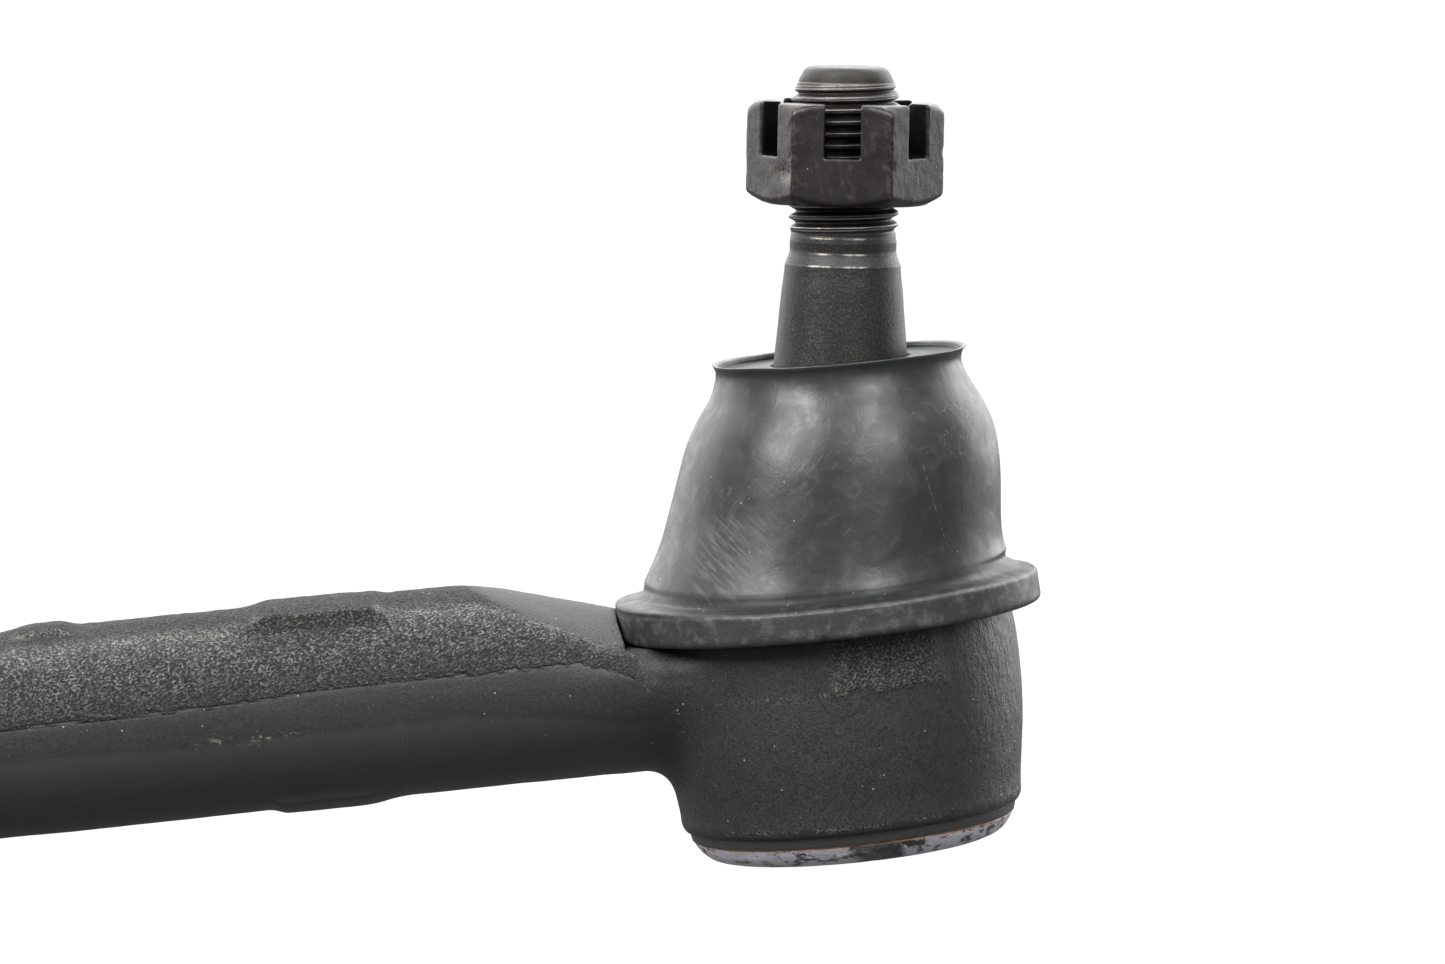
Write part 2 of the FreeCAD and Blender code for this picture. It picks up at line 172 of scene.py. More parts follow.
class Look:
    """A Principled material built node by node. Texture coordinates are the object's own, in millimetres."""

    def __init__(self, name, specular=0.5):
        self.material = bpy.data.materials.new(name)
        self.material.use_nodes = True
        self.tree = self.material.node_tree
        self.tree.nodes.clear()
        self.shader = add_node(self.tree, "ShaderNodeBsdfPrincipled", {"Specular IOR Level": specular})
        add_node(self.tree, "ShaderNodeOutputMaterial", {0: self.shader.outputs[0]})
        own = self.node("ShaderNodeTexCoord", {}, "Object")
        self.place = self.node("ShaderNodeVectorMath", {0: own, "Scale": 1 / MM}, operation="SCALE")
        self.colour = None

    def node(self, kind, inputs, output=0, **settings):
        """One output of a new node, as a Value."""
        inputs = {name: getattr(value, "socket", value) for name, value in inputs.items()}
        return Value(self, add_node(self.tree, kind, inputs, **settings).outputs[output])

    def math(self, operation, a, b):
        return self.node("ShaderNodeMath", {0: a, 1: b}, operation=operation)

    def stretched(self, x, y, z, turn=(0.0, 0.0, 0.0)):
        """Coordinates turned by degrees and then scaled per axis."""
        angles = [math.radians(angle) for angle in turn]
        turned_place = self.node("ShaderNodeMapping", {"Vector": self.place, "Rotation": angles},
                                 vector_type="POINT")
        return self.node("ShaderNodeVectorMath", {0: turned_place, 1: (x, y, z)}, operation="MULTIPLY")

    def noise(self, size, detail=3.0, roughness=0.6, where=None, distortion=0.0):
        """Noise from 0 to 1 whose lumps are about size millimetres."""
        inputs = {"Vector": where or self.place, "Scale": 1 / size, "Detail": detail, "Roughness": roughness,
                  "Distortion": distortion}
        return self.node("ShaderNodeTexNoise", inputs, "Fac")

    def specks(self, size, edge, middle, share):
        """A small round speck in each cell of about size millimetres, kept where share is high."""
        cells = self.node("ShaderNodeTexVoronoi", {"Vector": self.place, "Scale": 1 / size}, "Distance")
        return self.span(cells, edge, middle) * share

    def span(self, value, low, high, start=0.0, stop=1.0):
        """value's range low to high, spread smoothly over start to stop and held there."""
        inputs = {"Value": value, "From Min": low, "From Max": high, "To Min": start, "To Max": stop}
        return self.node("ShaderNodeMapRange", inputs, interpolation_type="SMOOTHSTEP")

    def masks(self, names):
        """The object's own mask attributes, by names with spaces between them."""
        return [self.node("ShaderNodeAttribute", {}, "Fac", attribute_type="GEOMETRY", attribute_name=name)
                for name in names.split()]

    def blend(self, share, a, b):
        """From colour a to colour b by share."""
        a, b = (value if isinstance(value, Value) else (*value, 1.0) for value in (a, b))
        return self.node("ShaderNodeMix", {0: share, 6: a, 7: b}, 2, data_type="RGBA")

    def mix(self, share, a, b):
        """From number a to number b by share."""
        return self.node("ShaderNodeMix", {0: share, 2: a, 3: b}, data_type="FLOAT")

    def paint(self, share, tint, strength=1.0):
        """Lays a tint over the colour so far, by share times strength."""
        self.colour = self.blend(share * strength, self.colour, tint)

    def finish(self, roughness, metallic=None, heights=(), specular=None):
        """heights are (height, millimetres) pairs, each a bump of its own on the one before."""
        normal = None
        for height, reach in heights:
            inputs = {"Strength": 1.0, "Distance": reach * MM, "Height": height}
            if normal:
                inputs["Normal"] = normal
            normal = self.node("ShaderNodeBump", inputs)
        for value, name in ((self.colour, "Base Color"), (roughness, "Roughness"), (metallic, "Metallic"),
                            (specular, "Specular IOR Level"), (normal, "Normal")):
            if isinstance(value, Value):
                self.tree.links.new(value.socket, self.shader.inputs[name])
            elif value is not None:
                self.shader.inputs[name].default_value = value
        return self.material


# -------- shapes from distance fields
def smooth_min(a, b, k):
    reach = np.maximum(k - np.abs(a - b), 0.0) / k
    return np.minimum(a, b) - reach * reach * (k / 4)


def smooth_max(a, b, k):
    return -smooth_min(-a, -b, k)


def eased(value, low, high):
    t = np.clip((value - low) / (high - low), 0.0, 1.0)
    return t * t * (3 - 2 * t)


def outline_distance(across, up, corners):
    """Signed distance to a closed outline of straight runs, negative inside."""
    nearest = np.full(across.shape, 1e9, across.dtype)
    inside = np.zeros(across.shape, bool)
    for (a0, u0), (a1, u1) in zip(corners, corners[1:] + corners[:1]):
        da, du = a1 - a0, u1 - u0
        wa, wu = across - a0, up - u0
        t = np.clip((wa * da + wu * du) / (da * da + du * du), 0, 1)
        nearest = np.minimum(nearest, (wa - da * t) ** 2 + (wu - du * t) ** 2)
        if du:
            inside ^= ((u0 <= up) != (u1 <= up)) & (across < a0 + wu * (da / du))
    return np.where(inside, -1.0, 1.0).astype(across.dtype) * np.sqrt(nearest)


def box_distance(x, y, z, low, high, rounding=0.0):
    middle = [(a + b) / 2 for a, b in zip(low, high)]
    half = [(b - a) / 2 - rounding for a, b in zip(low, high)]
    q = [np.abs(p - m) - h for p, m, h in zip((x, y, z), middle, half)]
    outside = np.sqrt(sum(np.maximum(d, 0) ** 2 for d in q))
    return outside + np.minimum(np.maximum(np.maximum(q[0], q[1]), q[2]), 0) - rounding


def lattice_noise(x, y, z, size, seed):
    """Smooth noise from -1 to 1 whose lumps are about size millimetres."""
    table = np.random.default_rng(seed).uniform(-1, 1, (32, 32, 32)).astype(np.float32)
    cells, parts = [], []
    for value in (x, y, z):
        scaled = np.asarray(value, np.float64) / size + 100.0
        whole = np.floor(scaled)
        part = scaled - whole
        cells.append(whole.astype(int))
        parts.append(part * part * (3 - 2 * part))
    total = 0.0
    for i in (0, 1):
        for j in (0, 1):
            for k in (0, 1):
                corner = table[(cells[0] + i) % 32, (cells[1] + j) % 32, (cells[2] + k) % 32]
                share = [part if step else 1 - part for part, step in zip(parts, (i, j, k))]
                total = total + corner * share[0] * share[1] * share[2]
    return total


def gradient(field, points, step=0.02):
    """The field's slope at each point."""
    slopes = []
    for axis in range(3):
        shift = np.zeros(3)
        shift[axis] = step
        slopes.append((field(*(points + shift).T) - field(*(points - shift).T)) / (2 * step))
    return np.stack(slopes, axis=1)


def outward(field, points):
    """The direction away from the solid at each point."""
    slope = gradient(field, points)
    return slope / np.linalg.norm(slope, axis=1)[:, None]


def surface(field, low, high, pitch):
    """Points and quads on the zero surface of a distance field within a box."""
    counts = [int(math.ceil((b - a) / pitch)) + 1 for a, b in zip(low, high)]
    axes = [(a + pitch * np.arange(n)).astype(np.float32) for a, n in zip(low, counts)]
    values = np.empty(counts, np.float32)
    for start in range(0, counts[0], 40):
        x, y, z = np.meshgrid(axes[0][start:start + 40], axes[1], axes[2], indexing="ij")
        values[start:start + 40] = field(x, y, z)
    cells = openvdb.FloatGrid(background=3 * pitch)
    cells.copyFromArray(values)
    points, quads = cells.convertToQuads(isovalue=0.0)
    points = np.array(low) + points.astype(np.float64) * pitch
    for _ in range(3):
        slope = gradient(field, points)
        steep = np.maximum((slope ** 2).sum(axis=1), 0.25)
        step = field(*points.T) / steep
        points -= np.clip(step, -pitch / 2, pitch / 2)[:, None] * slope
    return points, quads


def sharpened(points, first, second, where, reach=0.3):
    """The points near the line where two fields' surfaces cross, moved on to that line."""
    near = where & (np.abs(first(*points.T)) < reach) & (np.abs(second(*points.T)) < reach)
    moved = points[near]
    for _ in range(5):
        for field in (first, second):
            slope = gradient(field, moved)
            moved = moved - (field(*moved.T) / (slope ** 2).sum(axis=1))[:, None] * slope
    points = points.copy()
    points[near] = moved
    return points


def make_object(name, points, faces, caps=()):
    """A smooth mesh object from points in millimetres. faces are turned outwards, and caps are added as they are."""
    faces = np.asarray(faces)
    corners = points[faces[:, :3]]
    if np.einsum("ij,ij->i", corners[:, 0], np.cross(corners[:, 1], corners[:, 2])).sum() < 0:
        faces = faces[:, ::-1]
    mesh = bpy.data.meshes.new(name)
    mesh.from_pydata((points * MM).tolist(), [], faces.tolist() + list(caps))
    mesh.polygons.foreach_set("use_smooth", np.ones(len(mesh.polygons), bool))
    mesh.update()
    obj = bpy.data.objects.new(name, mesh)
    scene.collection.objects.link(obj)
    return obj


def set_masks(obj, **masks):
    """Stores each mask as a number per point under its own name."""
    for name, values in masks.items():
        attribute = obj.data.attributes.new(name, "FLOAT", "POINT")
        attribute.data.foreach_set("value", np.asarray(values, np.float32))


def along_stud(points, turn=0.0):
    """Points drawn upright about the stud's axis, put where the stud stands."""
    c, s = math.cos(math.radians(turn)), math.sin(math.radians(turn))
    x = points[:, 0] * c - points[:, 1] * s
    y = points[:, 0] * s + points[:, 1] * c
    z = points[:, 2]
    return np.stack([x * math.cos(LEAN) + z * math.sin(LEAN), y, z * math.cos(LEAN) - x * math.sin(LEAN)],
                    axis=1)


def grid_faces(rows, around, closed=False):
    """Quads of a tube of rows by around points; closed joins the last row to the first."""
    i, j = np.meshgrid(np.arange(rows if closed else rows - 1), np.arange(around), indexing="ij")
    a = i * around + j
    b = i * around + (j + 1) % around
    c = ((i + 1) % rows) * around + (j + 1) % around
    d = ((i + 1) % rows) * around + j
    return np.stack([a, b, c, d], axis=-1).reshape(-1, 4)


def rounded_outline(corners, closed=True):
    """Points along an outline of (r, z, rounding) corners, each rounded corner as a short arc."""
    spots = np.array([corner[:2] for corner in corners], float)
    line = []
    for number, corner in enumerate(corners):
        rounding = corner[2] if len(corner) > 2 else 0
        here = spots[number]
        ends = not closed and number in (0, len(corners) - 1)
        if not rounding or ends:
            line.append(here)
            continue
        before, after = spots[number - 1] - here, spots[(number + 1) % len(spots)] - here
        lengths = np.linalg.norm(before), np.linalg.norm(after)
        before, after = before / lengths[0], after / lengths[1]
        reach = min(rounding, 0.45 * min(lengths))
        for t in np.linspace(0, 1, 6):
            line.append(here + ((1 - t) ** 2 * before + t * t * after) * reach)
    return np.array(line)


def densified(line, gap, closed=True):
    """The same outline with points no further apart than gap."""
    points = []
    count = len(line) if closed else len(line) - 1
    for number in range(count):
        a, b = line[number], line[(number + 1) % len(line)]
        steps = max(1, int(math.ceil(np.linalg.norm(b - a) / gap)))
        points += [a + (b - a) * k / steps for k in range(steps)]
    if not closed:
        points.append(line[-1])
    return np.array(points)


def end_caps(rows, around):
    """The two faces that close a tube of rows by around points."""
    last = (rows - 1) * around
    return [list(range(around - 1, -1, -1)), list(range(last, last + around))]


def angles_around(count):
    return np.linspace(0, 2 * math.pi, count, endpoint=False)


def turned(r, z, around):
    """Points about Z from each row's radius and height, row by row."""
    angle = angles_around(around)
    return np.stack([r * np.cos(angle), r * np.sin(angle), z + 0 * angle], axis=-1).reshape(-1, 3)


# -------- forged housing
ARM_END, ARM_RADIUS, ARM_BORE, BORE_DEPTH = 138.0, 13.0, 8.02, 40.0
SHOULDER, FLANGE_SEAT, SEAT_CURVE = 4.06, 27.54, 160.0
BOSS_RADIUS, BOSS_TOP = 19.5, 10.0
SOCKET_WALL = [(-20.3, 21.97), (-18.0, 22.16), (-15.0, 22.57), (-12.0, 22.95), (-9.0, 23.25), (-5.0, 23.38),
               (-1.5, 23.38), (1.0, 23.25), (2.6, 23.05), (3.4, 22.9)]
wall_z = np.linspace(-20.3, 3.4, 60)
wall_fit = np.polyfit([row[0] for row in SOCKET_WALL], [row[1] for row in SOCKET_WALL], 5)
SOCKET_OUTLINE = [(0.0, -21.5), (21.1, -21.5), (21.5, -21.35), (21.8, -20.9)]
SOCKET_OUTLINE += [(float(np.polyval(wall_fit, z)), float(z)) for z in wall_z]
SOCKET_OUTLINE += [(22.5, SHOULDER), (0.0, SHOULDER)]
CAVITY_OUTLINE = [(0.0, -30.0), (18.1, -30.0), (18.1, -21.0), (17.5, -21.0), (17.5, 3.4), (12.5, 8.7),
                  (12.5, 12.0), (0.0, 12.0)]
WIDTH_AT = [(-60, 13.0), (-50, 13.0), (-44, 13.4), (-36, 14.7), (-28.6, 16.3), (-25.8, 15.9), (-21, 15.4),
            (0, 15.4)]
CROWN_AT = [(-60, 13.0), (-46, 13.0), (-41, 12.8), (-36, 12.4), (-31.6, 10.6), (-27.7, 9.1), (-20, 8.0),
            (0, 8.0)]
KEEL_AT = [(-138, 13.2), (-115, 13.35), (-90, 13.3), (-60, 13.15), (0, 13.15)]
BAND_LOW_AT = [(-140, -1.6), (-80, -2.5), (-49, -2.2), (-33, -3.6), (-24, -5.4), (-12, -7.2), (30, -8.0)]
BAND_HIGH_AT = [(-140, 1.7), (-84, 2.1), (-63, 2.9), (-40, 3.0), (-33, 3.2), (-27.5, 1.6), (-23, -0.4),
                (-12, -2.0), (30, -2.4)]


def table_value(x, table):
    return np.interp(x, [row[0] for row in table], [row[1] for row in table]).astype(x.dtype)


def slope_top(x, y):
    """Height of the flattened, slightly crowned top of the arm where it comes down to the socket."""
    return 8.2 - 0.285 * (x + 28.9) - y * y / 60


def arm_distance(x, y, z):
    half = table_value(x, WIDTH_AT)
    tall = np.where(z > 0, table_value(x, CROWN_AT), table_value(x, KEEL_AT))
    inner = np.sqrt((y / half) ** 2 + (z / tall) ** 2)
    slope = np.sqrt((y / half ** 2) ** 2 + (z / tall ** 2) ** 2)
    section = inner * (inner - 1) / np.maximum(slope, 1e-4)
    section = smooth_max(section, (z - slope_top(x, y)) * 0.96, 1.1)
    low, high = table_value(x, BAND_LOW_AT), table_value(x, BAND_HIGH_AT)
    rise = np.clip((z - low) / (high - low), 0, 1)
    section = section - 0.13 * rise * rise * (3 - 2 * rise) * np.clip((high - z) / 0.7 + 0.5, 0, 1)
    ends = np.maximum(-ARM_END - x, x + 8)
    edge = (np.sqrt(y * y + z * z) - ARM_RADIUS + (-ARM_END + 1.0 - x)) * 0.7071
    return smooth_max(smooth_max(section, ends, 0.5), edge, 0.4)


def pad_distance(x, y, z, start, stop, half, top, crown, slopes):
    """A raised forging mark on the arm, crowned across, falling away at each end at its own slope."""
    pad = box_distance(x, y, z, (start - 8, -half, 2), (stop + 8, half, top + 0.2), 0.6)
    pad = smooth_max(pad, z - top + crown * y * y, 0.5)
    for end, side, slope in ((start, -1, slopes[0]), (stop, 1, slopes[1])):
        pad = smooth_max(pad, ((x - end) * side * slope + z - top + crown * y * y) / math.hypot(1, slope),
                         0.5)
    return pad


def pads_distance(x, y, z):
    skewed = y + 0.03 * (x + 58)
    top = pad_distance(x, skewed, z + 0.02 * (x + 65), -72.2, -58.2, 7.5, 13.45, 0.024, (0.60, 0.8))
    small = pad_distance(x, y, z, -102.6, -98.4, 3.6, 13.65, 0.050, (0.40, 0.60))
    low = pad_distance(x, y, -z, -72.3, -60.3, 7.4, 13.75, 0.034, (0.80, 0.34))
    return smooth_min(np.minimum(top, small), low, 0.7)


def seat_distance(x, y):
    """How far a point is past the slightly hollow end of the arm's top, towards the boot's flange."""
    return x + FLANGE_SEAT - y * y / SEAT_CURVE


def padded_arm(x, y, z):
    return smooth_min(arm_distance(x, y, z), pads_distance(x, y, z), 1.1)


def housing(x, y, z):
    r = np.sqrt(x * x + y * y)
    socket = outline_distance(r, z, SOCKET_OUTLINE)
    body = smooth_min(padded_arm(x, y, z), socket, 3.6)
    seat = np.where(r > 23.3, SHOULDER - 0.3, SHOULDER)
    body = smooth_max(body, np.minimum(z - seat, seat_distance(x, y)), 0.15)
    boss = np.maximum(r - BOSS_RADIUS, np.maximum(z - BOSS_TOP, -5 - z))
    body = np.minimum(body, boss)
    body = np.maximum(body, -outline_distance(r, z, CAVITY_OUTLINE))
    bore = np.maximum(np.sqrt(y * y + z * z) - ARM_BORE, x + ARM_END - BORE_DEPTH)
    return smooth_max(body, -bore, 0.5)


PITCH = 0.42
points, quads = surface(housing, (-139.0, -25.0, -22.0), (25.0, 25.0, 15.0), PITCH)
arm_top = (points[:, 2] > SHOULDER + 0.5) & (np.abs(points[:, 1]) < 14)
points = sharpened(points, padded_arm, lambda x, y, z: seat_distance(x, y), arm_top)
normals = outward(housing, points)
px, py, pz = points.T
radius = np.hypot(px, py)
on_arm = eased(-px, 21.0, 27.0)
band_high = np.interp(px, *zip(*BAND_HIGH_AT))
band_low = np.interp(px, *zip(*BAND_LOW_AT))
ragged = 0.28 * lattice_noise(px, py, pz, 1.7, 11) + 0.16 * lattice_noise(px, py, pz, 0.8, 12)
above_band = eased(pz - band_high + ragged, -0.15, 0.35)
below_band = eased(band_low - pz + ragged, -0.5, 0.7) * on_arm
above_band *= eased(-px, 22.5, 27.5)
in_slope = eased(slope_top(px, py) - pz + 0.25 * ragged, 0.45, 0.1) * eased(px, -52.0, -43.0) * eased(-px,
                                                                                                      25.5,
                                                                                                      27.5)
outer = eased(radius, 18.6, 19.4) * (1 - eased(BOSS_RADIUS + 0.8 - radius, 0.0, 0.5) * (pz > SHOULDER + 0.05))
outer = np.maximum(outer, on_arm) * ((np.hypot(py, pz) > ARM_BORE + 0.05) | (px > -95))
coarse = above_band * (1 - 0.8 * in_slope) * (0.25 + 0.75 * on_arm)
lumps = 0.10 * lattice_noise(px, py, pz, 9.0, 1) + 0.05 * lattice_noise(px, py, pz, 3.5, 2)
grain = 0.055 * lattice_noise(px, py, pz, 1.25, 3) + 0.045 * lattice_noise(px, py, pz, 0.85, 4)
edge_wear = 0.5 * eased(np.abs(pz - band_high + 0.8 * ragged), 0.45, 0.05) * on_arm
coarse_tone = (0.40 + 0.60 * eased(pz - band_high, 0.5, 5.0)) * (1 - 0.75 * eased(normals[:, 2], 0.82, 0.94))
# Painted light: the arm's end face by the boot's flange is painted lighter, against the shadow that the flange and
# arm leave in the gap there.
seat_face = eased(np.abs(seat_distance(px, py)), 0.20, 0.08) * (normals[:, 0] > 0.7) * (pz > SHOULDER)
speck_line = eased(np.abs(pz + 3.5 + 0.4 * ragged), 0.26, 0.05) * eased(np.abs(px + 6.5), 11.0,
                                                                        6.0) * (py < 0)
edge_wear = np.maximum(edge_wear, 1.3 * speck_line)
low_edge = eased(np.abs(pz + 20.55 + 0.4 * ragged), 0.40, 0.1) * (radius > 20.0)
edge_wear = np.maximum(edge_wear, 1.1 * low_edge * eased(lattice_noise(px, py, pz, 3.0, 16), -0.3, 0.2))
# Painted shade: the near side face of the top pad is painted darker, as if in its own shade.
pad_face = eased(np.abs(py + 0.03 * (px + 58) + 7.6), 1.1, 0.5) * eased(pz, 8.5,
                                                                        10.0) * eased(np.abs(px + 65.0), 9.0,
                                                                                      7.6)
patch = eased(np.abs(px - 6.2) + 2 * ragged, 8.2, 4.0) * eased(np.abs(pz - 0.3) + 2 * ragged, 4.2,
                                                               2.6) * (py < 0)
scratch_line = pz + 2.35 - 0.02 * (px + 74) + 0.35 * lattice_noise(px, 0 * py, 0 * pz, 2.0, 15)
scratches = eased(np.abs(scratch_line), 0.55, 0.15) * eased(np.abs(px + 74.5), 8.5, 5.0) * (py < 0)
amount = outer * (lumps + (0.25 + 0.75 * coarse) * grain)
points = points + normals * amount[:, None]
points[:, 0] = np.maximum(points[:, 0], -ARM_END)
forging = make_object("forged_housing", points, quads)
set_masks(forging, coarse=coarse, coarse_tone=coarse_tone, crown=eased(normals[:, 2], 0.82, 0.94)
          * above_band,
          seat_face=seat_face, pad_face=pad_face, slope=in_slope, below=below_band, trim=edge_wear,
          on_arm=on_arm, patch=patch, scratches=scratches, right=eased(px, 13.0, 20.0) * (1 - on_arm))


def forging_look():
    look = Look("black_forging", specular=0.36)
    coarse, coarse_tone, crown, slope, below, trim = look.masks("coarse coarse_tone crown slope below trim")
    on_arm, patch, scratches = look.masks("on_arm patch scratches")
    right, pad_face, seat_face = look.masks("right pad_face seat_face")
    worms = look.noise(0.27, where=look.stretched(0.7, 1, 1, (0, 25, 0)))
    dapple = look.noise(1.5)
    fine = look.noise(0.3)
    peel = look.noise(1.1, 3.0, 0.55, where=look.stretched(1, 1, 0.6))
    broad = look.noise(6.0, 3.0, 0.55)
    socket = 1.0 - on_arm
    look.colour = look.blend(broad, (0.0235, 0.0235, 0.0238), (0.032, 0.032, 0.0322))
    look.paint(below, (0.041, 0.041, 0.042), 0.8)
    crest = look.span(worms, 0.46, 0.7) * (coarse * coarse_tone)
    look.paint(crest * look.span(dapple, 0.3, 0.66, 0.35, 1.0), (0.385, 0.372, 0.336))
    # Painted shade on the near side face of the top pad.
    look.paint(pad_face * look.span(worms, 0.35, 0.62, 0.85, 0.35), (0.012, 0.012, 0.012))
    look.paint(crown * (0.65 - slope), (0.019, 0.0185, 0.02))
    # Painted light on the arm's end face by the flange, against the shadow in the gap.
    look.paint(seat_face, (0.12, 0.12, 0.115), 0.8)
    pit = look.span(worms, 0.48, 0.36) * (coarse * 0.85)
    look.paint(pit, (0.006, 0.006, 0.006))
    look.paint(slope, (0.058, 0.058, 0.059), 0.7)
    fleck = look.span(fine, 0.6, 0.72) * slope
    look.paint(fleck, (0.1, 0.1, 0.105), 0.5)
    look.paint(patch, (0.068, 0.067, 0.063), 0.6)
    scuffed = look.span(fine, 0.52, 0.64) * (trim + patch * 1.4)
    look.paint(scuffed, (0.22, 0.215, 0.19), 0.55)
    torn = look.noise(0.22, where=look.stretched(0.35, 1, 1))
    torn = look.span(look.noise(1.6, 2.0, 0.5), 0.45, 0.55) * look.span(torn, 0.52, 0.58)
    bare = torn * scratches
    look.paint(bare, (0.34, 0.32, 0.27), 0.75)
    upright_grain = look.noise(0.42, where=look.stretched(1, 1, 0.42))
    grain = look.span(upright_grain, 0.53, 0.68) * (look.mix(below, 0.13, 0.02) + right * 0.45)
    look.paint(grain, (0.105, 0.102, 0.095))
    # Painted light: the socket's right side is painted lighter in broad patches, standing in for the light that
    # falls on that side.
    look.paint(right * look.span(broad, 0.35, 0.65, 0.15, 0.6), (0.06, 0.059, 0.056))
    pores = look.span(fine, 0.5, 0.4) * (socket + look.mix(below, 0.8, 0.0))
    look.paint(pores, (0.012, 0.012, 0.012), 0.45)
    for size, strength in ((0.7, 0.6), (1.15, 1.0)):
        spots = look.specks(size, 0.12, 0.07, look.span(look.noise(size * 4, 3.0, 0.7), 0.56, 0.62))
        spots = spots * look.mix(below, 1.0, 0.3)
        look.paint(spots, (0.33, 0.31, 0.26), strength)
    roughness = look.mix(coarse, look.span(fine, 0.3, 0.7, 0.46, 0.58),
                         look.span(worms, 0.35, 0.65, 0.62, 0.36))
    matt_crown = crown * (1.0 - slope)
    roughness = roughness + slope * 0.1 - right * 0.08 + matt_crown * 0.28
    deep = coarse + slope * 0.35
    worm_height = worms * (deep + patch * 0.9)
    peel_share = socket * 0.65 + look.mix(below, 0.35, 0.1)
    peel_height = peel * (peel_share + right * 0.5)
    fine_height = fine * (deep + look.mix(below, 0.8, 0.16))
    return look.finish(roughness, heights=[(worm_height, 0.95), (peel_height, 0.15), (fine_height, 0.1)])


forging.data.materials.append(forging_look())
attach(forging, "housing")
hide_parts("socket_housing")

# turned band and the lip rolled over the end cap
RIM_CORNERS = [(20.95, -21.0), (21.0, -21.6, 0.2), (20.75, -22.75, 0.15), (20.34, -22.9, 0.08),
               (20.42, -23.1, 0.15), (20.15, -23.6, 0.4), (19.7, -24.25, 0.5), (19.1, -24.85, 0.5),
               (18.2, -25.32, 0.5), (17.2, -25.56, 0.5), (15.8, -25.56, 0.5), (15.15, -25.2, 0.3),
               (15.15, -24.02), (18.06, -24.02), (18.06, -21.0)]
rim_line = densified(rounded_outline(RIM_CORNERS), 0.28)
AROUND_RIM = 360
rim_points = turned(rim_line[:, :1], rim_line[:, 1:], AROUND_RIM)
rx, ry, rz = rim_points.T
rr = np.hypot(rx, ry)
rolled = eased(-rz, 22.8, 23.1) * eased(rr, 15.0, 15.4)
dents = 0.07 * lattice_noise(rx, ry, rz * 1.6, 2.6, 21) + 0.05 * lattice_noise(rx, ry, rz * 2, 1.1, 22)
dents -= 0.16 * eased(lattice_noise(rx, ry, rz * 1.4, 1.9, 23), 0.35, 0.8)
move = rolled * dents + (1 - rolled) * 0.02 * lattice_noise(rx, ry, rz * 3, 1.5, 24)
visible_rim = (rr > 18.3) | (rz < -25.0)
rim_points[:, 0] += rx / rr * move * visible_rim
rim_points[:, 1] += ry / rr * move * visible_rim
rim = make_object("rolled_rim", rim_points, grid_faces(len(rim_line), AROUND_RIM, closed=True))
rim_way = np.degrees(np.arctan2(rx, -ry))
ragged_way = rim_way - 10.0 + 4 * lattice_noise(rx, ry, rz, 1.5, 25)
set_masks(rim, rolled=rolled, band_edge=eased(np.abs(rz + 22.95), 0.30, 0.05),
          dent=eased(lattice_noise(rx, ry, rz * 1.4, 1.9, 23), 0.30, 0.6),
          worn=eased(np.abs(rim_way + 30.0), 42.0, 26.0), dark_bit=eased(np.abs(ragged_way), 11.0, 7.0))


def rim_look():
    look = Look("rolled_rim_steel")
    rolled, edge, dent, worn, dark_bit = look.masks("rolled band_edge dent worn dark_bit")
    flakes = look.noise(1.9, 4.0, 0.65, where=look.stretched(1, 1, 1.8))
    patches = look.noise(9.0, 2.0, 0.5)
    reach = flakes + worn * 0.16 + look.span(patches, 0.3, 0.7, -0.1, 0.12)
    bare = rolled * look.span(reach, 0.4, 0.47)
    bare = bare * (1.0 - dark_bit * 0.9)
    fine = look.noise(0.4)
    streaks = look.noise(0.5, 2.0, 0.5, where=look.stretched(0.15, 0.15, 1.2))
    steel = look.blend(streaks, (0.42, 0.42, 0.46), (0.66, 0.66, 0.72))
    scale = look.blend(fine, (0.026, 0.026, 0.026), (0.046, 0.044, 0.043))
    look.colour = look.blend(bare, scale, steel)
    spots = look.span(look.noise(1.6, 4.0, 0.75, where=look.stretched(0.6, 0.6, 1.6)), 0.53, 0.6) * rolled
    look.paint(spots, (0.028, 0.026, 0.025), 0.85)
    rust = edge * look.span(look.noise(0.9, 4.0, 0.7), 0.38, 0.5)
    look.paint(rust, (0.3, 0.17, 0.08), 0.85)
    pocket = dent * rolled * 0.4
    look.paint(pocket, (0.03, 0.028, 0.026))
    metallic = bare * 0.25
    roughness = look.mix(bare, 0.48, look.span(streaks, 0.3, 0.7, 0.38, 0.52))
    return look.finish(roughness, metallic, heights=[(flakes, 0.12), (fine, 0.03)])


rim.data.materials.append(rim_look())
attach(rim, "housing")


# thread M16 x 1.5 inside the arm
def thread_part(turns):
    """How far a turn number is from the middle of the crest (0) to the middle of the root (1)."""
    return np.abs((turns % 1.0) - 0.5) * 2


def thread_wave(turns):
    """One 60 degree thread's profile by turn number: 0 at the root, 1 at the flat crest."""
    return np.clip((1 - thread_part(turns)) * 1.5 - 0.18, 0.0, 1.0)


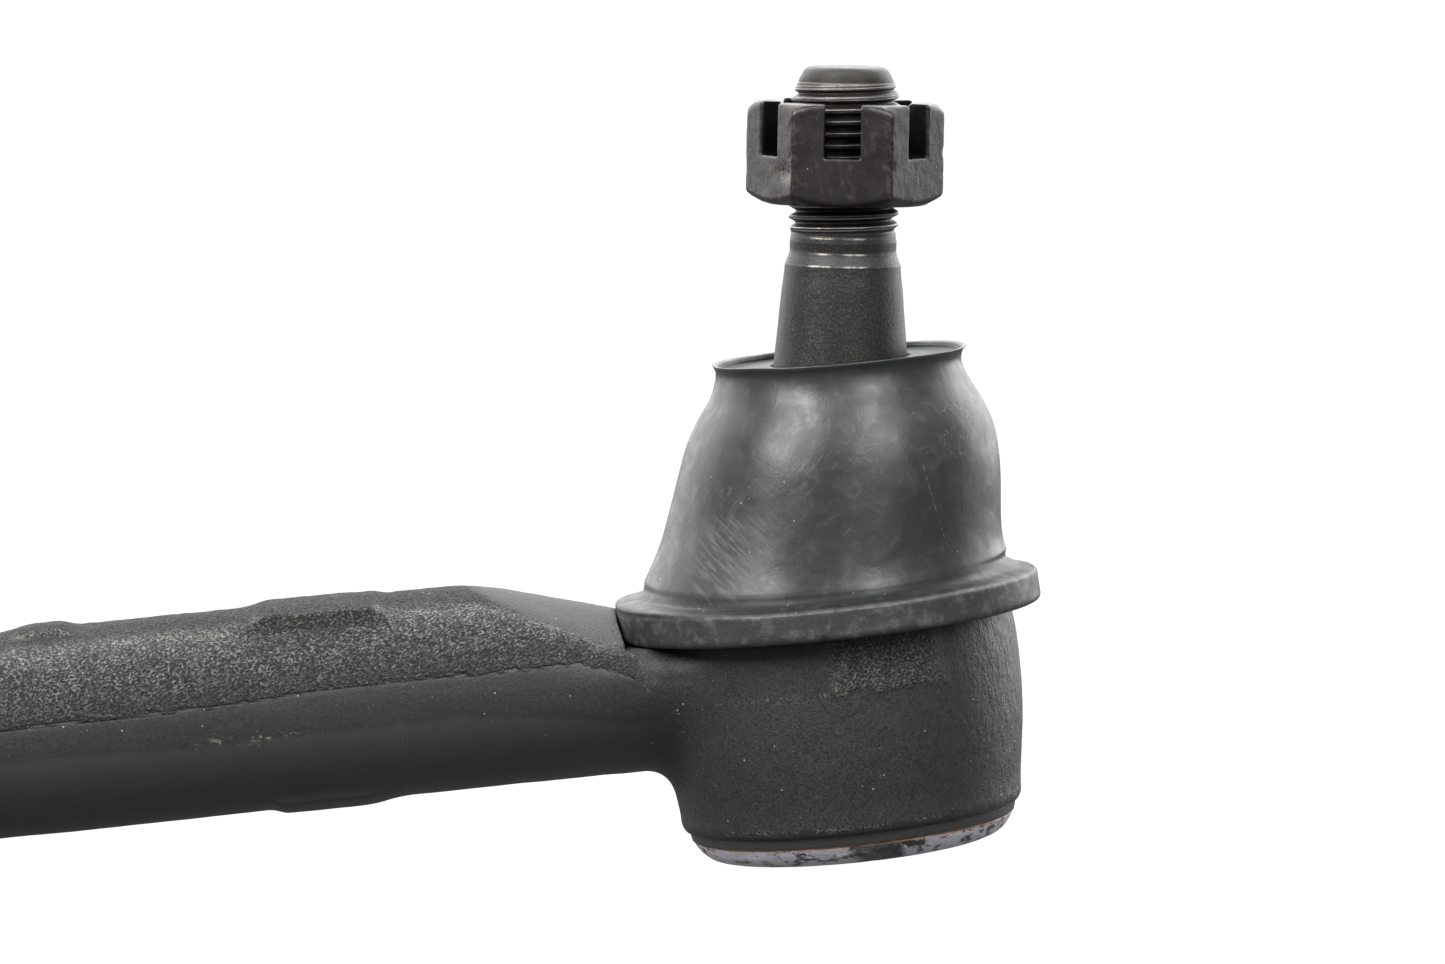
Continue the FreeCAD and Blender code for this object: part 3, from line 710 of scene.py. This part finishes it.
THREAD_PITCH = 1.5
ARM_MINOR, ARM_MAJOR, ARM_SLEEVE = 7.19, 7.98, 8.10
sleeve_x = np.linspace(-ARM_END + 0.9, -ARM_END + BORE_DEPTH - 0.1, 300)
AROUND_THREAD = 72
turns = sleeve_x[:, None] / THREAD_PITCH - angles_around(AROUND_THREAD) / (2 * math.pi)
inner_r = ARM_MAJOR - (ARM_MAJOR - ARM_MINOR) * thread_wave(turns)
lead_in = eased(sleeve_x, -ARM_END + 2.2, -ARM_END + 0.9)[:, None]
inner_r = inner_r + (ARM_MAJOR - inner_r) * lead_in
outer_r = np.full_like(inner_r, ARM_SLEEVE)
rows_r = np.concatenate([inner_r, outer_r[::-1]])
rows_x = np.concatenate([sleeve_x, sleeve_x[::-1]])[:, None]
sleeve_points = turned(rows_r, rows_x, AROUND_THREAD)[:, [2, 0, 1]]
sleeve = make_object("arm_thread", sleeve_points, grid_faces(len(rows_r), AROUND_THREAD, closed=True))


def cut_steel_look(name, dark, light):
    """Bare cut or pressed steel, mottled between a dark and a light tone."""
    look = Look(name)
    tool = look.noise(0.22)
    stain = look.noise(5.0)
    look.colour = look.blend(tool * 0.5 + stain * 0.5, dark, light)
    return look.finish(look.span(stain, 0.3, 0.7, 0.28, 0.5), 0.9, heights=[(tool, 0.03)])


sleeve.data.materials.append(cut_steel_look("arm_thread_steel", (0.10, 0.095, 0.09), (0.34, 0.33, 0.32)))
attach(sleeve, "housing")

# -------- end cap
CAP_CORNERS = [(0.02, -23.1), (6.8, -23.1, 1.4), (9.0, -23.25, 1.2), (10.6, -24.0, 0.8), (11.6, -24.0, 0.5),
               (17.9, -24.0, 0.2), (17.9, -21.85), (0.02, -21.85)]
cap_line = densified(rounded_outline(CAP_CORNERS), 0.7)
AROUND_CAP = 160
cap_points = turned(cap_line[:, :1], cap_line[:, 1:], AROUND_CAP)
cx, cy, cz = cap_points.T
cap_points[:, 2] += 0.03 * lattice_noise(cx, cy, cz, 4.0, 31) * (cz < -23)
cap = make_object("end_cap_disc", cap_points, grid_faces(len(cap_line), AROUND_CAP, closed=True))


def cap_look():
    look = Look("zinc_cap")
    grime = look.noise(5.0, 4.0)
    fine = look.noise(0.3)
    look.colour = look.blend(look.span(grime, 0.35, 0.7), (0.3, 0.3, 0.31), (0.13, 0.125, 0.12))
    roughness = look.span(grime, 0.3, 0.7, 0.3, 0.52)
    return look.finish(roughness, 0.9, heights=[(fine, 0.02), (grime, 0.04)])


cap.data.materials.append(cap_look())
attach(cap, "housing")
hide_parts("end_cap")

# -------- ball stud
STUD_CREST, STUD_ROOT = 7.0, 6.10
THREAD_LOW, THREAD_TOP = 53.3, 72.5
STUD_PROFILE = [(0.02, -13.4), (3.9, -13.4, 0.6)]
STUD_PROFILE += [(14.0 * math.cos(a), 14.0 * math.sin(a)) for a in np.linspace(math.radians(-71.5),
                                                                               math.radians(58.5), 50)]
STUD_PROFILE += [(7.2, 12.2), (7.2, 13.6), (7.35, 15.5), (7.7, 17.8), (8.25, 20.0), (8.81, 21.5, 0.3),
                 (8.81, 34.0)]
STUD_PROFILE += [(7.72, 46.2), (7.62, 47.0), (7.50, 48.0, 0.15), (7.44, 48.75, 0.12), (7.40, 49.3, 0.12),
                 (6.86, 50.6, 0.2), (6.80, 51.1, 0.1), (6.84, 52.2, 0.1), (6.74, 52.8, 0.1), (6.70, 53.3)]
STUD_END = [(6.12, 72.55, 0.1), (6.03, 72.8), (5.62, 73.6, 0.6), (5.28, 74.15, 0.4), (4.8, 74.45, 0.3),
            (4.3, 74.5), (0.02, 74.5)]
lower = densified(rounded_outline(STUD_PROFILE, closed=False), 0.5, closed=False)
upper = densified(rounded_outline(STUD_END, closed=False), 0.4, closed=False)
thread_z = np.linspace(THREAD_LOW, THREAD_TOP, int((THREAD_TOP - THREAD_LOW) / THREAD_PITCH * 16))
AROUND_STUD = 144
stud_angle = angles_around(AROUND_STUD)


def stud_turns(z, angle):
    return (z + 0.28) / THREAD_PITCH - angle / (2 * math.pi)


def stud_thread_radius(z, angle):
    """The stud's thread at a height and an angle, run out at its lower end."""
    wave = thread_wave(stud_turns(z, angle))
    full = STUD_ROOT + (STUD_CREST - STUD_ROOT) * wave
    started = eased(z, THREAD_LOW - 0.4, THREAD_LOW + 1.6)
    return 6.70 + (full - 6.70) * started


thread_r = stud_thread_radius(thread_z[:, None], stud_angle[None, :])
thread_r = np.minimum(thread_r, 6.16 + 0.36 * (THREAD_TOP - thread_z[:, None]))
stud_r = np.concatenate([np.repeat(lower[:, :1], AROUND_STUD, axis=1), thread_r,
                         np.repeat(upper[:, :1], AROUND_STUD, axis=1)])
stud_z = np.concatenate([lower[:, 1], thread_z, upper[:, 1]])[:, None] + 0 * stud_r
wobble = 0.018 * lattice_noise(stud_r * np.cos(stud_angle), stud_r * np.sin(stud_angle), stud_z * 0.7, 1.6,
                               41)
stud_r = np.maximum(stud_r + wobble * (stud_z > 20) * (stud_r > 1), 0.02)
upright = turned(stud_r, stud_z, AROUND_STUD)
stud = make_object("tapered_stud", along_stud(upright), grid_faces(len(stud_r), AROUND_STUD),
                   caps=end_caps(len(stud_r), AROUND_STUD))
height = upright[:, 2]
stud_radius = np.hypot(upright[:, 0], upright[:, 1])
sideways = upright[:, 0] / np.maximum(stud_radius, 0.1)
# Glint windows: the two upright strips on the stud's front where the left and right softboxes reflect, for painted
# highlights.
glints = eased(np.abs(sideways + 0.42), 0.26, 0.10) + eased(np.abs(sideways - 0.20), 0.26, 0.10)
set_masks(stud, height=height, threaded=(height > THREAD_LOW + 0.3) & (height < THREAD_TOP),
          part=thread_part(stud_turns(height, np.arctan2(upright[:, 1], upright[:, 0]))),
          end=eased(height, 72.3, 72.6), glint=glints * (upright[:, 1] < 0))


def stud_look():
    look = Look("phosphated_stud")
    threaded, part, glint, end, up = look.masks("threaded part glint end height")
    grain = look.noise(0.21, 3.0, 0.65, where=look.stretched(1, 1, 0.55))
    mottled = look.noise(1.6, 4.0, 0.65)
    patchy = look.noise(1.2)
    look.colour = look.blend(mottled, (0.022, 0.022, 0.022), (0.046, 0.045, 0.043))
    look.paint(look.span(grain, 0.55, 0.7), (0.15, 0.145, 0.135), 0.35)
    # Painted highlights: thin light lines along both edges of each thread crest. Above 57 mm they are dimmed, partly
    # as painted shade of the nut and partly as darker oxide.
    off_edge = abs(part - 0.24)
    bright = look.span(off_edge, 0.11, 0.04) * look.span(patchy, 0.25, 0.6, 0.45, 1.0)
    bright = bright * (threaded * look.span(up, 57.0, 59.0, 1.0, 0.35))
    look.paint(threaded, (0.016, 0.0125, 0.0105), 0.75)
    look.paint(bright, (0.5, 0.48, 0.45))
    # Painted highlights: light lines on the ring edges under the thread, strongest in the glint windows, faint all
    # round.
    for level, share in ((52.85, 0.8), (50.85, 1.0), (49.3, 0.7)):
        line = look.span(abs(up - level), 0.16, 0.05)
        line = line * (glint * share + 0.12)
        line = line * look.span(patchy, 0.35, 0.6, 0.2, 1.0)
        look.paint(line, (0.42, 0.4, 0.35))
    end_tone = look.blend(look.span(up, 72.7, 74.4), (0.014, 0.0122, 0.0105), (0.05, 0.047, 0.041))
    look.paint(end, end_tone, 0.9)
    rim_line = look.span(abs(up - 72.45), 0.16, 0.05)
    look.paint(rim_line, (0.26, 0.23, 0.19), 0.35)
    roughness = look.mix(bright, look.span(grain, 0.3, 0.7, 0.34, 0.5), 0.24)
    metallic = look.mix(threaded, 0.75, 0.5) * look.mix(end, 1.0, 0.4)
    return look.finish(roughness, metallic, heights=[(grain, 0.075)], specular=look.mix(end, 0.5, 0.2))


stud.data.materials.append(stud_look())

# The cotter pin's hole, across the stud along one pair of the nut's slots. The cut takes nothing away as it
# stands, because the drill's side faces point inwards.
HOLE_UP, HOLE_RADIUS, HOLE_TURN = 66.5, 1.75, 57.2
AROUND_DRILL = 48
drill_angle = angles_around(AROUND_DRILL)
drill_rows = (-9.0, -6.6, 6.6, 9.0)
drill_points = np.array([[HOLE_RADIUS * math.cos(a), y, HOLE_UP + HOLE_RADIUS * math.sin(a)]
                         for y in drill_rows for a in drill_angle])
drill_faces = grid_faces(len(drill_rows), AROUND_DRILL).tolist()
drill_faces += [cap[::-1] for cap in end_caps(len(drill_rows), AROUND_DRILL)]
drill_mesh = bpy.data.meshes.new("drill")
drill_mesh.from_pydata((along_stud(drill_points, HOLE_TURN) * MM).tolist(), [], drill_faces)
drill_mesh.update()
drill = bpy.data.objects.new("drill", drill_mesh)
scene.collection.objects.link(drill)


def cut_away(obj, tool):
    """Takes the tool's solid out of the object for good and deletes the tool."""
    cut = obj.modifiers.new("cut", "BOOLEAN")
    cut.operation = "DIFFERENCE"
    cut.solver = "EXACT"
    cut.object = tool
    evaluated = obj.evaluated_get(bpy.context.evaluated_depsgraph_get())
    result = bpy.data.meshes.new_from_object(evaluated)
    obj.modifiers.clear()
    obj.data = result
    bpy.data.objects.remove(tool)


cut_away(stud, drill)
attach(stud, "stud")
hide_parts("ball_stud")

# -------- castle nut
NUT_LOW, NUT_TOP, NUT_APOTHEM, NUT_TURN = 57.0, 70.0, 11.0, -2.8
SLOT_HALF, SLOT_DEPTH, COUNTERSINK = 2.3, 6.8, 8.6
THREAD_GAP = 0.06
FLATS, SLOTS = (30, 90, 150), (0, 60, 120)


def across(x, y, degrees):
    """How far a point is from the middle, along each of three directions."""
    return [np.abs(x * math.cos(a) + y * math.sin(a)) for a in np.radians(degrees)]


def nut(x, y, z):
    sides = [side - NUT_APOTHEM for side in across(x, y, FLATS)]
    r = np.sqrt(x * x + y * y)
    body = smooth_max(smooth_max(sides[0], sides[1], 0.35), sides[2], 0.35)
    top_cone = (z - NUT_TOP + 0.72 * (r - 11.25)) * 0.81
    low_cone = (NUT_LOW - z + 0.54 * (r - 10.2)) * 0.88
    body = smooth_max(body, top_cone, 0.5)
    body = smooth_max(body, low_cone, 0.45)
    body = smooth_max(body, np.maximum(z - NUT_TOP, NUT_LOW - z), 0.25)
    for side in across(x, y, SLOTS):
        body = smooth_max(body, -smooth_max(side - SLOT_HALF, NUT_TOP - SLOT_DEPTH - z, 0.35), 0.22)
    angle = np.arctan2(y, x) + math.radians(NUT_TURN)
    bore = r - (stud_thread_radius(np.maximum(z, THREAD_LOW + 2), angle) + THREAD_GAP)
    funnel = (r - COUNTERSINK + (NUT_TOP - z)) * 0.7071
    foot = (r - 7.4 + (z - NUT_LOW)) * 0.7071
    return smooth_max(smooth_max(body, -np.minimum(funnel, foot), 0.2), -bore, 0.08)


nut_pitch = 0.19
nut_points, nut_quads = surface(nut, (-13.4, -11.8, NUT_LOW - 0.6), (13.4, 11.8, NUT_TOP + 0.6), nut_pitch)
nx, ny, nz = nut_points.T
nut_r = np.hypot(nx, ny)
outside_nut = eased(nut_r, 8.8, 9.4)
dings = 0.03 * lattice_noise(nx, ny, nz, 2.6, 51) + 0.02 * lattice_noise(nx, ny, nz, 0.9, 52)
sides = np.sort(np.array(across(nx, ny, FLATS)) - NUT_APOTHEM, axis=0)
corner_near = eased(sides[2] - sides[1], 1.0, 0.15)
dings -= corner_near * 0.10 * eased(lattice_noise(nx, ny, nz, 1.3, 53), 0.2, 0.7)
dent = np.exp(-(((nx + 7.4) / 1.6) ** 2 + ((ny + 9.2) / 1.6) ** 2 + ((nz - 61.2) / 1.0) ** 2))
dings -= 0.35 * dent
nut_points = nut_points + outward(nut, nut_points) * (dings * outside_nut)[:, None]
castle = make_object("slotted_nut", along_stud(nut_points, NUT_TURN), nut_quads)
top_near = eased(np.abs(nz - NUT_TOP + 0.72 * np.maximum(nut_r - 11.25, 0)), 0.5, 0.1)
slots = np.array(across(nx, ny, SLOTS))
slot_edges = 0.6 * eased(np.abs(slots - SLOT_HALF), 0.32, 0.08) * (nz > NUT_TOP - SLOT_DEPTH - 0.2)
slot_near = slot_edges.max(axis=0) * eased(sides[2], -0.6, -0.15)
slot_inside = (slots < SLOT_HALF + 0.15) * (nz > NUT_TOP - SLOT_DEPTH - 0.15)
edge = np.clip(np.maximum(corner_near, np.maximum(slot_near, 0.7 * top_near)), 0, 1) * outside_nut
set_masks(castle, edge=edge, hollow=slot_inside.max(axis=0) * eased(-sides[2], 0.15, 0.7),
          ding=np.clip(dent * 1.2, 0, 1), funnel=eased(nz, NUT_TOP - 1.6, NUT_TOP - 0.9) * eased(nut_r, 9.2,
                                                                                                 8.6))


def nut_look():
    look = Look("black_oxide_nut")
    edge, ding, hollow, funnel = look.masks("edge ding hollow funnel")
    mottled = look.noise(3.2, 4.0)
    fine = look.noise(0.4)
    stain = look.noise(0.9, where=look.stretched(1, 1, 0.5, (0, 12, 0)))
    look.colour = look.blend(mottled, (0.012, 0.01, 0.0095), (0.027, 0.0235, 0.0225))
    look.paint(look.span(stain, 0.52, 0.7), (0.08, 0.074, 0.07), 0.35)
    worn = edge * look.span(look.noise(0.8, 4.0, 0.7), 0.46, 0.68)
    look.paint(worn, (0.2, 0.18, 0.16), 0.4)
    chips = ding * look.span(look.noise(0.45, 3.0, 0.7), 0.44, 0.6)
    look.paint(chips, (0.26, 0.22, 0.18), 0.7)
    look.paint(funnel, (0.16, 0.17, 0.2), 0.5)
    speck = look.specks(1.4, 0.1, 0.05, look.span(look.noise(3.0, 1.0, 0.5), 0.55, 0.65))
    look.paint(speck, (0.4, 0.34, 0.26), 0.6)
    # Painted shade: the faces inside the slots are painted nearly black.
    look.paint(hollow, (0.0035, 0.0035, 0.004), 0.9)
    roughness = look.span(mottled, 0.3, 0.7, 0.34, 0.46)
    metallic = look.mix(worn, 0.35, 0.9)
    return look.finish(roughness, metallic, heights=[(fine, 0.035), (stain, 0.03)],
                       specular=look.mix(hollow, 0.5, 0.08))


castle.data.materials.append(nut_look())
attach(castle, "nut")
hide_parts("castle_nut")

# -------- dust boot
# by height: how far the section has moved over to +X with the stud, and its outer radius
WALL = [(10.0, -0.15, 23.3), (11.0, 0.0, 22.95), (13.0, 0.40, 22.45), (15.0, 0.85, 22.0),
        (17.0, 1.38, 21.7), (19.0, 1.85, 21.5), (21.0, 2.32, 21.15), (23.0, 2.67, 20.85),
        (25.0, 2.95, 20.45), (27.0, 3.20, 19.85), (29.0, 3.42, 19.05), (30.0, 3.50, 18.6),
        (31.0, 3.60, 18.05), (32.0, 3.68, 17.4), (33.0, 3.76, 16.7), (34.0, 3.90, 16.1),
        (34.9, 4.08, 15.82), (36.0, 4.22, 15.92), (37.1, 4.34, 16.30)]
WALL_THICK, LIP_THICK = 1.8, 0.75
WALL_FITS = [np.polyfit([(row[0] - 23.5) / 13.5 for row in WALL], [row[column] for row in WALL],
                        7) for column in (1, 2)]


def wall_curve(height, column):
    """A smooth curve through one column of WALL."""
    return np.polyval(WALL_FITS[column - 1], (np.clip(height, WALL[0][0], WALL[-1][0]) - 23.5) / 13.5)


def wall_radius(z):
    return float(wall_curve(z, 2))


def shear(z):
    """How far the boot's section has moved over by height, none below the wall's foot."""
    return float(wall_curve(z, 1) * eased(z, 8.6, 10.4))


def band(value, rise, full, fade, gone):
    """1 from full to fade, falling smoothly to 0 at rise and at gone."""
    return eased(value, rise, full) * eased(value, gone, fade)


boot_rows = []
flange = rounded_outline([(21.0, 4.07), (23.2, 4.07, 0.1), (23.4, 3.82, 0.1), (26.95, 3.82, 0.9),
                          (26.72, 7.55, 0.3),
                          (26.3, 7.85, 0.25), (24.3, 8.15, 0.4), (23.6, 8.9, 0.7), (23.3,
                                                                                    10.0)], closed=False)
for r, z in densified(flange, 0.35, closed=False):
    boot_rows.append((r, z, shear(z)))
for z in np.linspace(10.2, 37.0, 90):
    boot_rows.append((wall_radius(z), z, shear(z)))
OUTER_ROWS = len(boot_rows)
LIP_TOP = 37.1
WEB_TOP, WEB_LOW, WEB_HOLE = 36.1, 33.9, 8.98
lip_r, lip_shift = wall_radius(LIP_TOP), shear(LIP_TOP)
boot_rows += [(lip_r - 0.06, LIP_TOP, lip_shift), (lip_r - 0.3, LIP_TOP, lip_shift),
              (lip_r - LIP_THICK + 0.1, LIP_TOP - 0.12, lip_shift),
              (lip_r - LIP_THICK, LIP_TOP - 0.35, lip_shift)]
for z in np.linspace(36.65, WEB_TOP + 0.15, 4):
    boot_rows.append((wall_radius(z) - LIP_THICK - 0.12 * (36.6 - z), z, shear(z)))
web_shift = math.tan(LEAN)
web_start = wall_radius(WEB_TOP + 0.1) - LIP_THICK - 0.45
for t in np.linspace(0, 1, 14):
    r = web_start + (WEB_HOLE - web_start) * t
    z = WEB_TOP + 0.10 * (1 - eased(t, 0.0, 0.12)) + 0.25 * eased(t, 0.75, 1.0)
    boot_rows.append((r, z, shear(WEB_TOP) * (1 - t) + WEB_TOP * web_shift * t))
for z in np.linspace(WEB_TOP - 0.1, WEB_LOW, 4):
    boot_rows.append((WEB_HOLE, z, z * web_shift))
for t in np.linspace(0.1, 1, 6):
    r = WEB_HOLE + (wall_radius(WEB_LOW) - WALL_THICK - WEB_HOLE) * t
    boot_rows.append((r, WEB_LOW, WEB_LOW * web_shift * (1 - t) + shear(WEB_LOW) * t))
for z in np.linspace(WEB_LOW - 0.4, 10.2, 52):
    boot_rows.append((wall_radius(z) - WALL_THICK, z, shear(z)))
boot_rows += [(21.25, 9.5, shear(9.5)), (21.0, 9.2, 0.0), (21.0, 7.5, 0.0), (21.0, 5.8, 0.0)]
AROUND_BOOT = 240
rows = np.array(boot_rows)
boot_points = turned(rows[:, :1], rows[:, 1:2], AROUND_BOOT)
boot_points[:, 0] += np.repeat(rows[:, 2], AROUND_BOOT)
bx, by, bz = boot_points.T
br = np.repeat(rows[:, 0], AROUND_BOOT)
row_number = np.repeat(np.arange(len(rows)), AROUND_BOOT)
outer_side = row_number < OUTER_ROWS
radial = turned(1 + 0 * rows[:, :1], 0 * rows[:, :1], AROUND_BOOT)[:, :2]
wave = 0.10 * lattice_noise(bx, by, bz, 8.0, 61) + 0.035 * lattice_noise(bx, by, bz, 2.4, 62)
boot_free = eased(bz, 4.3, 5.0)
wave = wave - 0.02 * eased(lattice_noise(bx, by, bz, 1.4, 64), 0.1, 0.6) * (bz < 8.6)
boot_points[:, :2] += radial * (wave * boot_free * (br > 13))[:, None]
foot = band(bz, 7.6, 8.5, 9.2, 13.0) * outer_side
way = np.arctan2(by, bx)
to_arm, from_arm = np.maximum(-np.cos(way), 0) ** 3, np.maximum(np.cos(way), 0) ** 3
raised = band(bz, 5.0, 7.4, 8.6, 17.0) * outer_side
tuck = 0.6 * band(bz, 8.0, 8.9, 9.2, 10.4) * outer_side * from_arm
boot_points[:, :2] -= radial * tuck[:, None]
boot_points[:, 2] += 1.15 * raised * to_arm + 0.45 * foot * from_arm
bulge = 0.50 + 0.22 * eased(bz, 4.5, 8.2)
by_seat = eased(-np.cos(way), 0.78, 0.92) * eased(br, 25.5, 26.7)
boot_points[:, :2] += radial * (bulge * by_seat)[:, None]
boot_points[:, 2] += (0.42 - 0.0215 * (bx - 4.3)) * eased(bz, 33.0, 35.8)
lip_flutter = 0.10 * lattice_noise(bx, by, 0 * bz, 6.0, 63)
boot_points[:, 2] += lip_flutter * eased(bz, 35.6, 37.0) * 0.9 - 0.1 * eased(bz, 36.4, 37.1)
nick = np.exp(-((bx + 1.6) / 0.35) ** 2 - ((bz - 4.1) / 0.5) ** 2) * (by < 0) * (br > 25)
boot_points[:, :2] -= radial * (0.7 * nick)[:, None]
boot = make_object("rubber_boot", boot_points, grid_faces(len(rows), AROUND_BOOT, closed=True))
web_rows = (rows[:, 1] > WEB_TOP - 0.2) & (rows[:, 1] < WEB_TOP + 0.45) & (rows[:, 0] < web_start - 0.3)
beside_stud = eased(np.hypot(bx - WEB_TOP * web_shift, by * 0.6), 13.5, 10.5)
near_side = by < 0
patch_across = np.abs(bx + 12.0) + 2.5 * wave
set_masks(boot, web=np.repeat(web_rows.astype(float), AROUND_BOOT) * beside_stud,
          by_arm=eased(to_arm, 0.80, 0.93) * eased(bz, 8.6, 7.8) * (br > 25.5),
          streak=(bx - 13.2) * 0.982 + (bz - 24.4) * 0.185,
          streak_end=eased(np.abs(bz - 18.8), 6.0, 4.5) * near_side,
          scrawl=eased(np.hypot((bx - 17.8) / 2.6, (bz - 27.6) / 4.2), 1.1, 0.6) * near_side,
          inside=(row_number >= OUTER_ROWS + 3) * eased(bz, 34.0, 35.0),
          lip=eased(np.abs(row_number - OUTER_ROWS), 2.5, 0.5),
          dusty=eased(patch_across, 7.0, 3.0) * eased(np.abs(bz - 14.5), 6.5, 3.5) * near_side,
          ledge=band(bz, 7.6, 8.0, 9.2, 10.2) * (br > 23.4) * outer_side,
          flange=eased(bz, 8.6, 8.2) * (br > 21.5), flange_edge=eased(np.abs(bz - 7.65), 0.45,
                                                                      0.1) * (br > 26.0))


def boot_look():
    look = Look("moulded_rubber")
    web, lip, flange, edge, by_arm, ledge = look.masks("web lip flange flange_edge by_arm ledge")
    inside, dusty, streak, streak_end, scrawl = look.masks("inside dusty streak streak_end scrawl")
    cloud = look.noise(9.0, 3.0, 0.55)
    dust = look.noise(3.0, 5.0, 0.65, distortion=0.6)
    fine = look.noise(0.5)
    rub = look.noise(0.55, 3.0, 0.55, where=look.stretched(0.12, 1.0, 1.0, (0, 38, 0)))
    rub_zone = look.span(look.noise(8.0, 2.0, 0.5, where=look.stretched(1, 1, 1.3)), 0.52, 0.66)
    scratched = look.span(rub, 0.54, 0.7) * rub_zone
    look.colour = look.blend(cloud, (0.0145, 0.0166, 0.0175), (0.0235, 0.026, 0.0264))
    look.paint(look.span(dust, 0.52, 0.78), (0.06, 0.066, 0.065), 0.55)
    look.paint(scratched, (0.125, 0.13, 0.125), 0.3)
    streaks = look.noise(0.36, 2.0, where=look.stretched(0.07, 0.1, 1.0, (0, -48, 0)))
    smeared = look.span(streaks, 0.46, 0.68) * dusty
    look.paint(dusty, (0.064, 0.066, 0.063), 0.35)
    look.paint(smeared, (0.115, 0.118, 0.112), 0.5)
    broken = look.span(look.noise(0.8, 3.0, 0.7), 0.42, 0.56)
    scored = look.span(abs(streak), 0.11, 0.04) * streak_end
    for size, level in ((2.6, 0.5), (1.7, 0.47)):
        winding = look.noise(size, 1.0, 0.4, where=look.stretched(1.0, 1.0, 0.6, (0, 20, 0)), distortion=0.5)
        line = look.span(abs(winding - level), 0.022, 0.008)
        scored = look.math("MAXIMUM", scored, line * scrawl)
    look.paint(scored * broken, (0.16, 0.165, 0.16), 0.45)
    # Painted shade: the inner wall of the cup above 34 mm is painted darker.
    look.paint(inside, (0.01, 0.011, 0.012), 0.6)
    # Painted light: the web around the stud is painted lighter for the light it catches from above.
    look.paint(web, (0.075, 0.078, 0.083), 0.6)
    look.paint(lip, (0.12, 0.125, 0.125), 0.35)
    blotch = look.noise(1.9, 5.0, 0.7)
    look.paint(flange, (0.021, 0.0205, 0.02), 0.75)
    look.paint(flange * look.span(blotch, 0.48, 0.68, 0.0, 0.7), (0.082, 0.08, 0.077))
    look.paint(edge * look.span(blotch, 0.35, 0.6, 0.1, 0.4), (0.13, 0.125, 0.12))
    # Painted light: the flange's side next to the arm's end is painted lighter, against the shadow in the gap there.
    look.paint(by_arm, (0.13, 0.128, 0.124), 0.5)
    look.paint(ledge, (0.016, 0.017, 0.017), 0.55)
    speck = look.specks(2.2, 0.06, 0.03, look.span(look.noise(5.0, 1.0, 0.5), 0.52, 0.6))
    look.paint(speck, (0.42, 0.42, 0.4), 0.7)
    roughness = look.span(dust, 0.3, 0.75, 0.34, 0.5) + smeared * 0.15 + flange * 0.12
    dull = look.math("MAXIMUM", look.math("MAXIMUM", inside, web), ledge * 0.75)
    return look.finish(roughness, heights=[(cloud, 0.18), (dust, 0.05), (fine, 0.012),
                                           (blotch * flange, 0.12)], specular=look.mix(dull, 0.5, 0.06))


boot.data.materials.append(boot_look())
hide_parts("dust_boot")
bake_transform(boot)


# -------- the CAD nodes that stay
def polymer_look():
    look = Look("acetal")
    tone = look.noise(4.0, 3.0, 0.5)
    grease = look.noise(3.0, 4.0, 0.65)
    fine = look.noise(0.3, 2.0, 0.5)
    look.colour = look.blend(tone, (0.7, 0.67, 0.58), (0.8, 0.78, 0.71))
    look.paint(look.span(grease, 0.55, 0.7), (0.45, 0.36, 0.18), 0.5)
    return look.finish(look.span(grease, 0.4, 0.7, 0.5, 0.25), heights=[(fine, 0.02)])


node_looks = {
    "upper_bearing": polymer_look(),
    "preload_spring": cut_steel_look("spring_strip", (0.09, 0.09, 0.10), (0.26, 0.26, 0.27)),
    "boot_base_ring": cut_steel_look("pressed_ring", (0.20, 0.20, 0.20), (0.42, 0.42, 0.42)),
}
node_looks["lower_bearing"] = node_looks["upper_bearing"]
node_looks["boot_seal_ring"] = node_looks["boot_base_ring"]
for node, material in node_looks.items():
    mesh = frame["nodes"][node].data
    for index in range(len(mesh.materials)):
        mesh.materials[index] = material

# -------- floor
FLOOR_RADIUS, FLOOR_CORNERS = 3.0, 96
ring = [(FLOOR_RADIUS * math.cos(a), FLOOR_RADIUS * math.sin(a), 0.0) for a in angles_around(FLOOR_CORNERS)]
floor_mesh = bpy.data.meshes.new("floor")
floor_mesh.from_pydata(ring, [], [list(range(FLOOR_CORNERS))])
floor = bpy.data.objects.new("floor", floor_mesh)
scene.collection.objects.link(floor)
floor.matrix_world = Matrix.Translation(Vector(bench_up * -BENCH_BELOW_BALL * MM)) @ Matrix.Rotation(TIP, 4,
                                                                                                     "Y")
floor_material = bpy.data.materials.new("pale_floor")
floor_material.use_nodes = True
tree = floor_material.node_tree
tree.nodes.clear()
seen = add_node(tree, "ShaderNodeLightPath").outputs["Is Camera Ray"]
glow = add_node(tree, "ShaderNodeMapRange", {"Value": seen, "To Min": 0.19, "To Max": 1.02}).outputs[0]
lift = add_node(tree, "ShaderNodeEmission", {"Strength": glow}).outputs[0]
paper = add_node(tree, "ShaderNodeBsdfDiffuse", {"Color": (0.04, 0.04, 0.04, 1.0)}).outputs[0]
both = add_node(tree, "ShaderNodeAddShader", {0: paper, 1: lift}).outputs[0]
clear = add_node(tree, "ShaderNodeBsdfTransparent").outputs[0]
below = add_node(tree, "ShaderNodeNewGeometry").outputs["Backfacing"]
chosen = add_node(tree, "ShaderNodeMixShader", {0: below, 1: both, 2: clear}).outputs[0]
add_node(tree, "ShaderNodeOutputMaterial", {0: chosen})
floor.data.materials.append(floor_material)
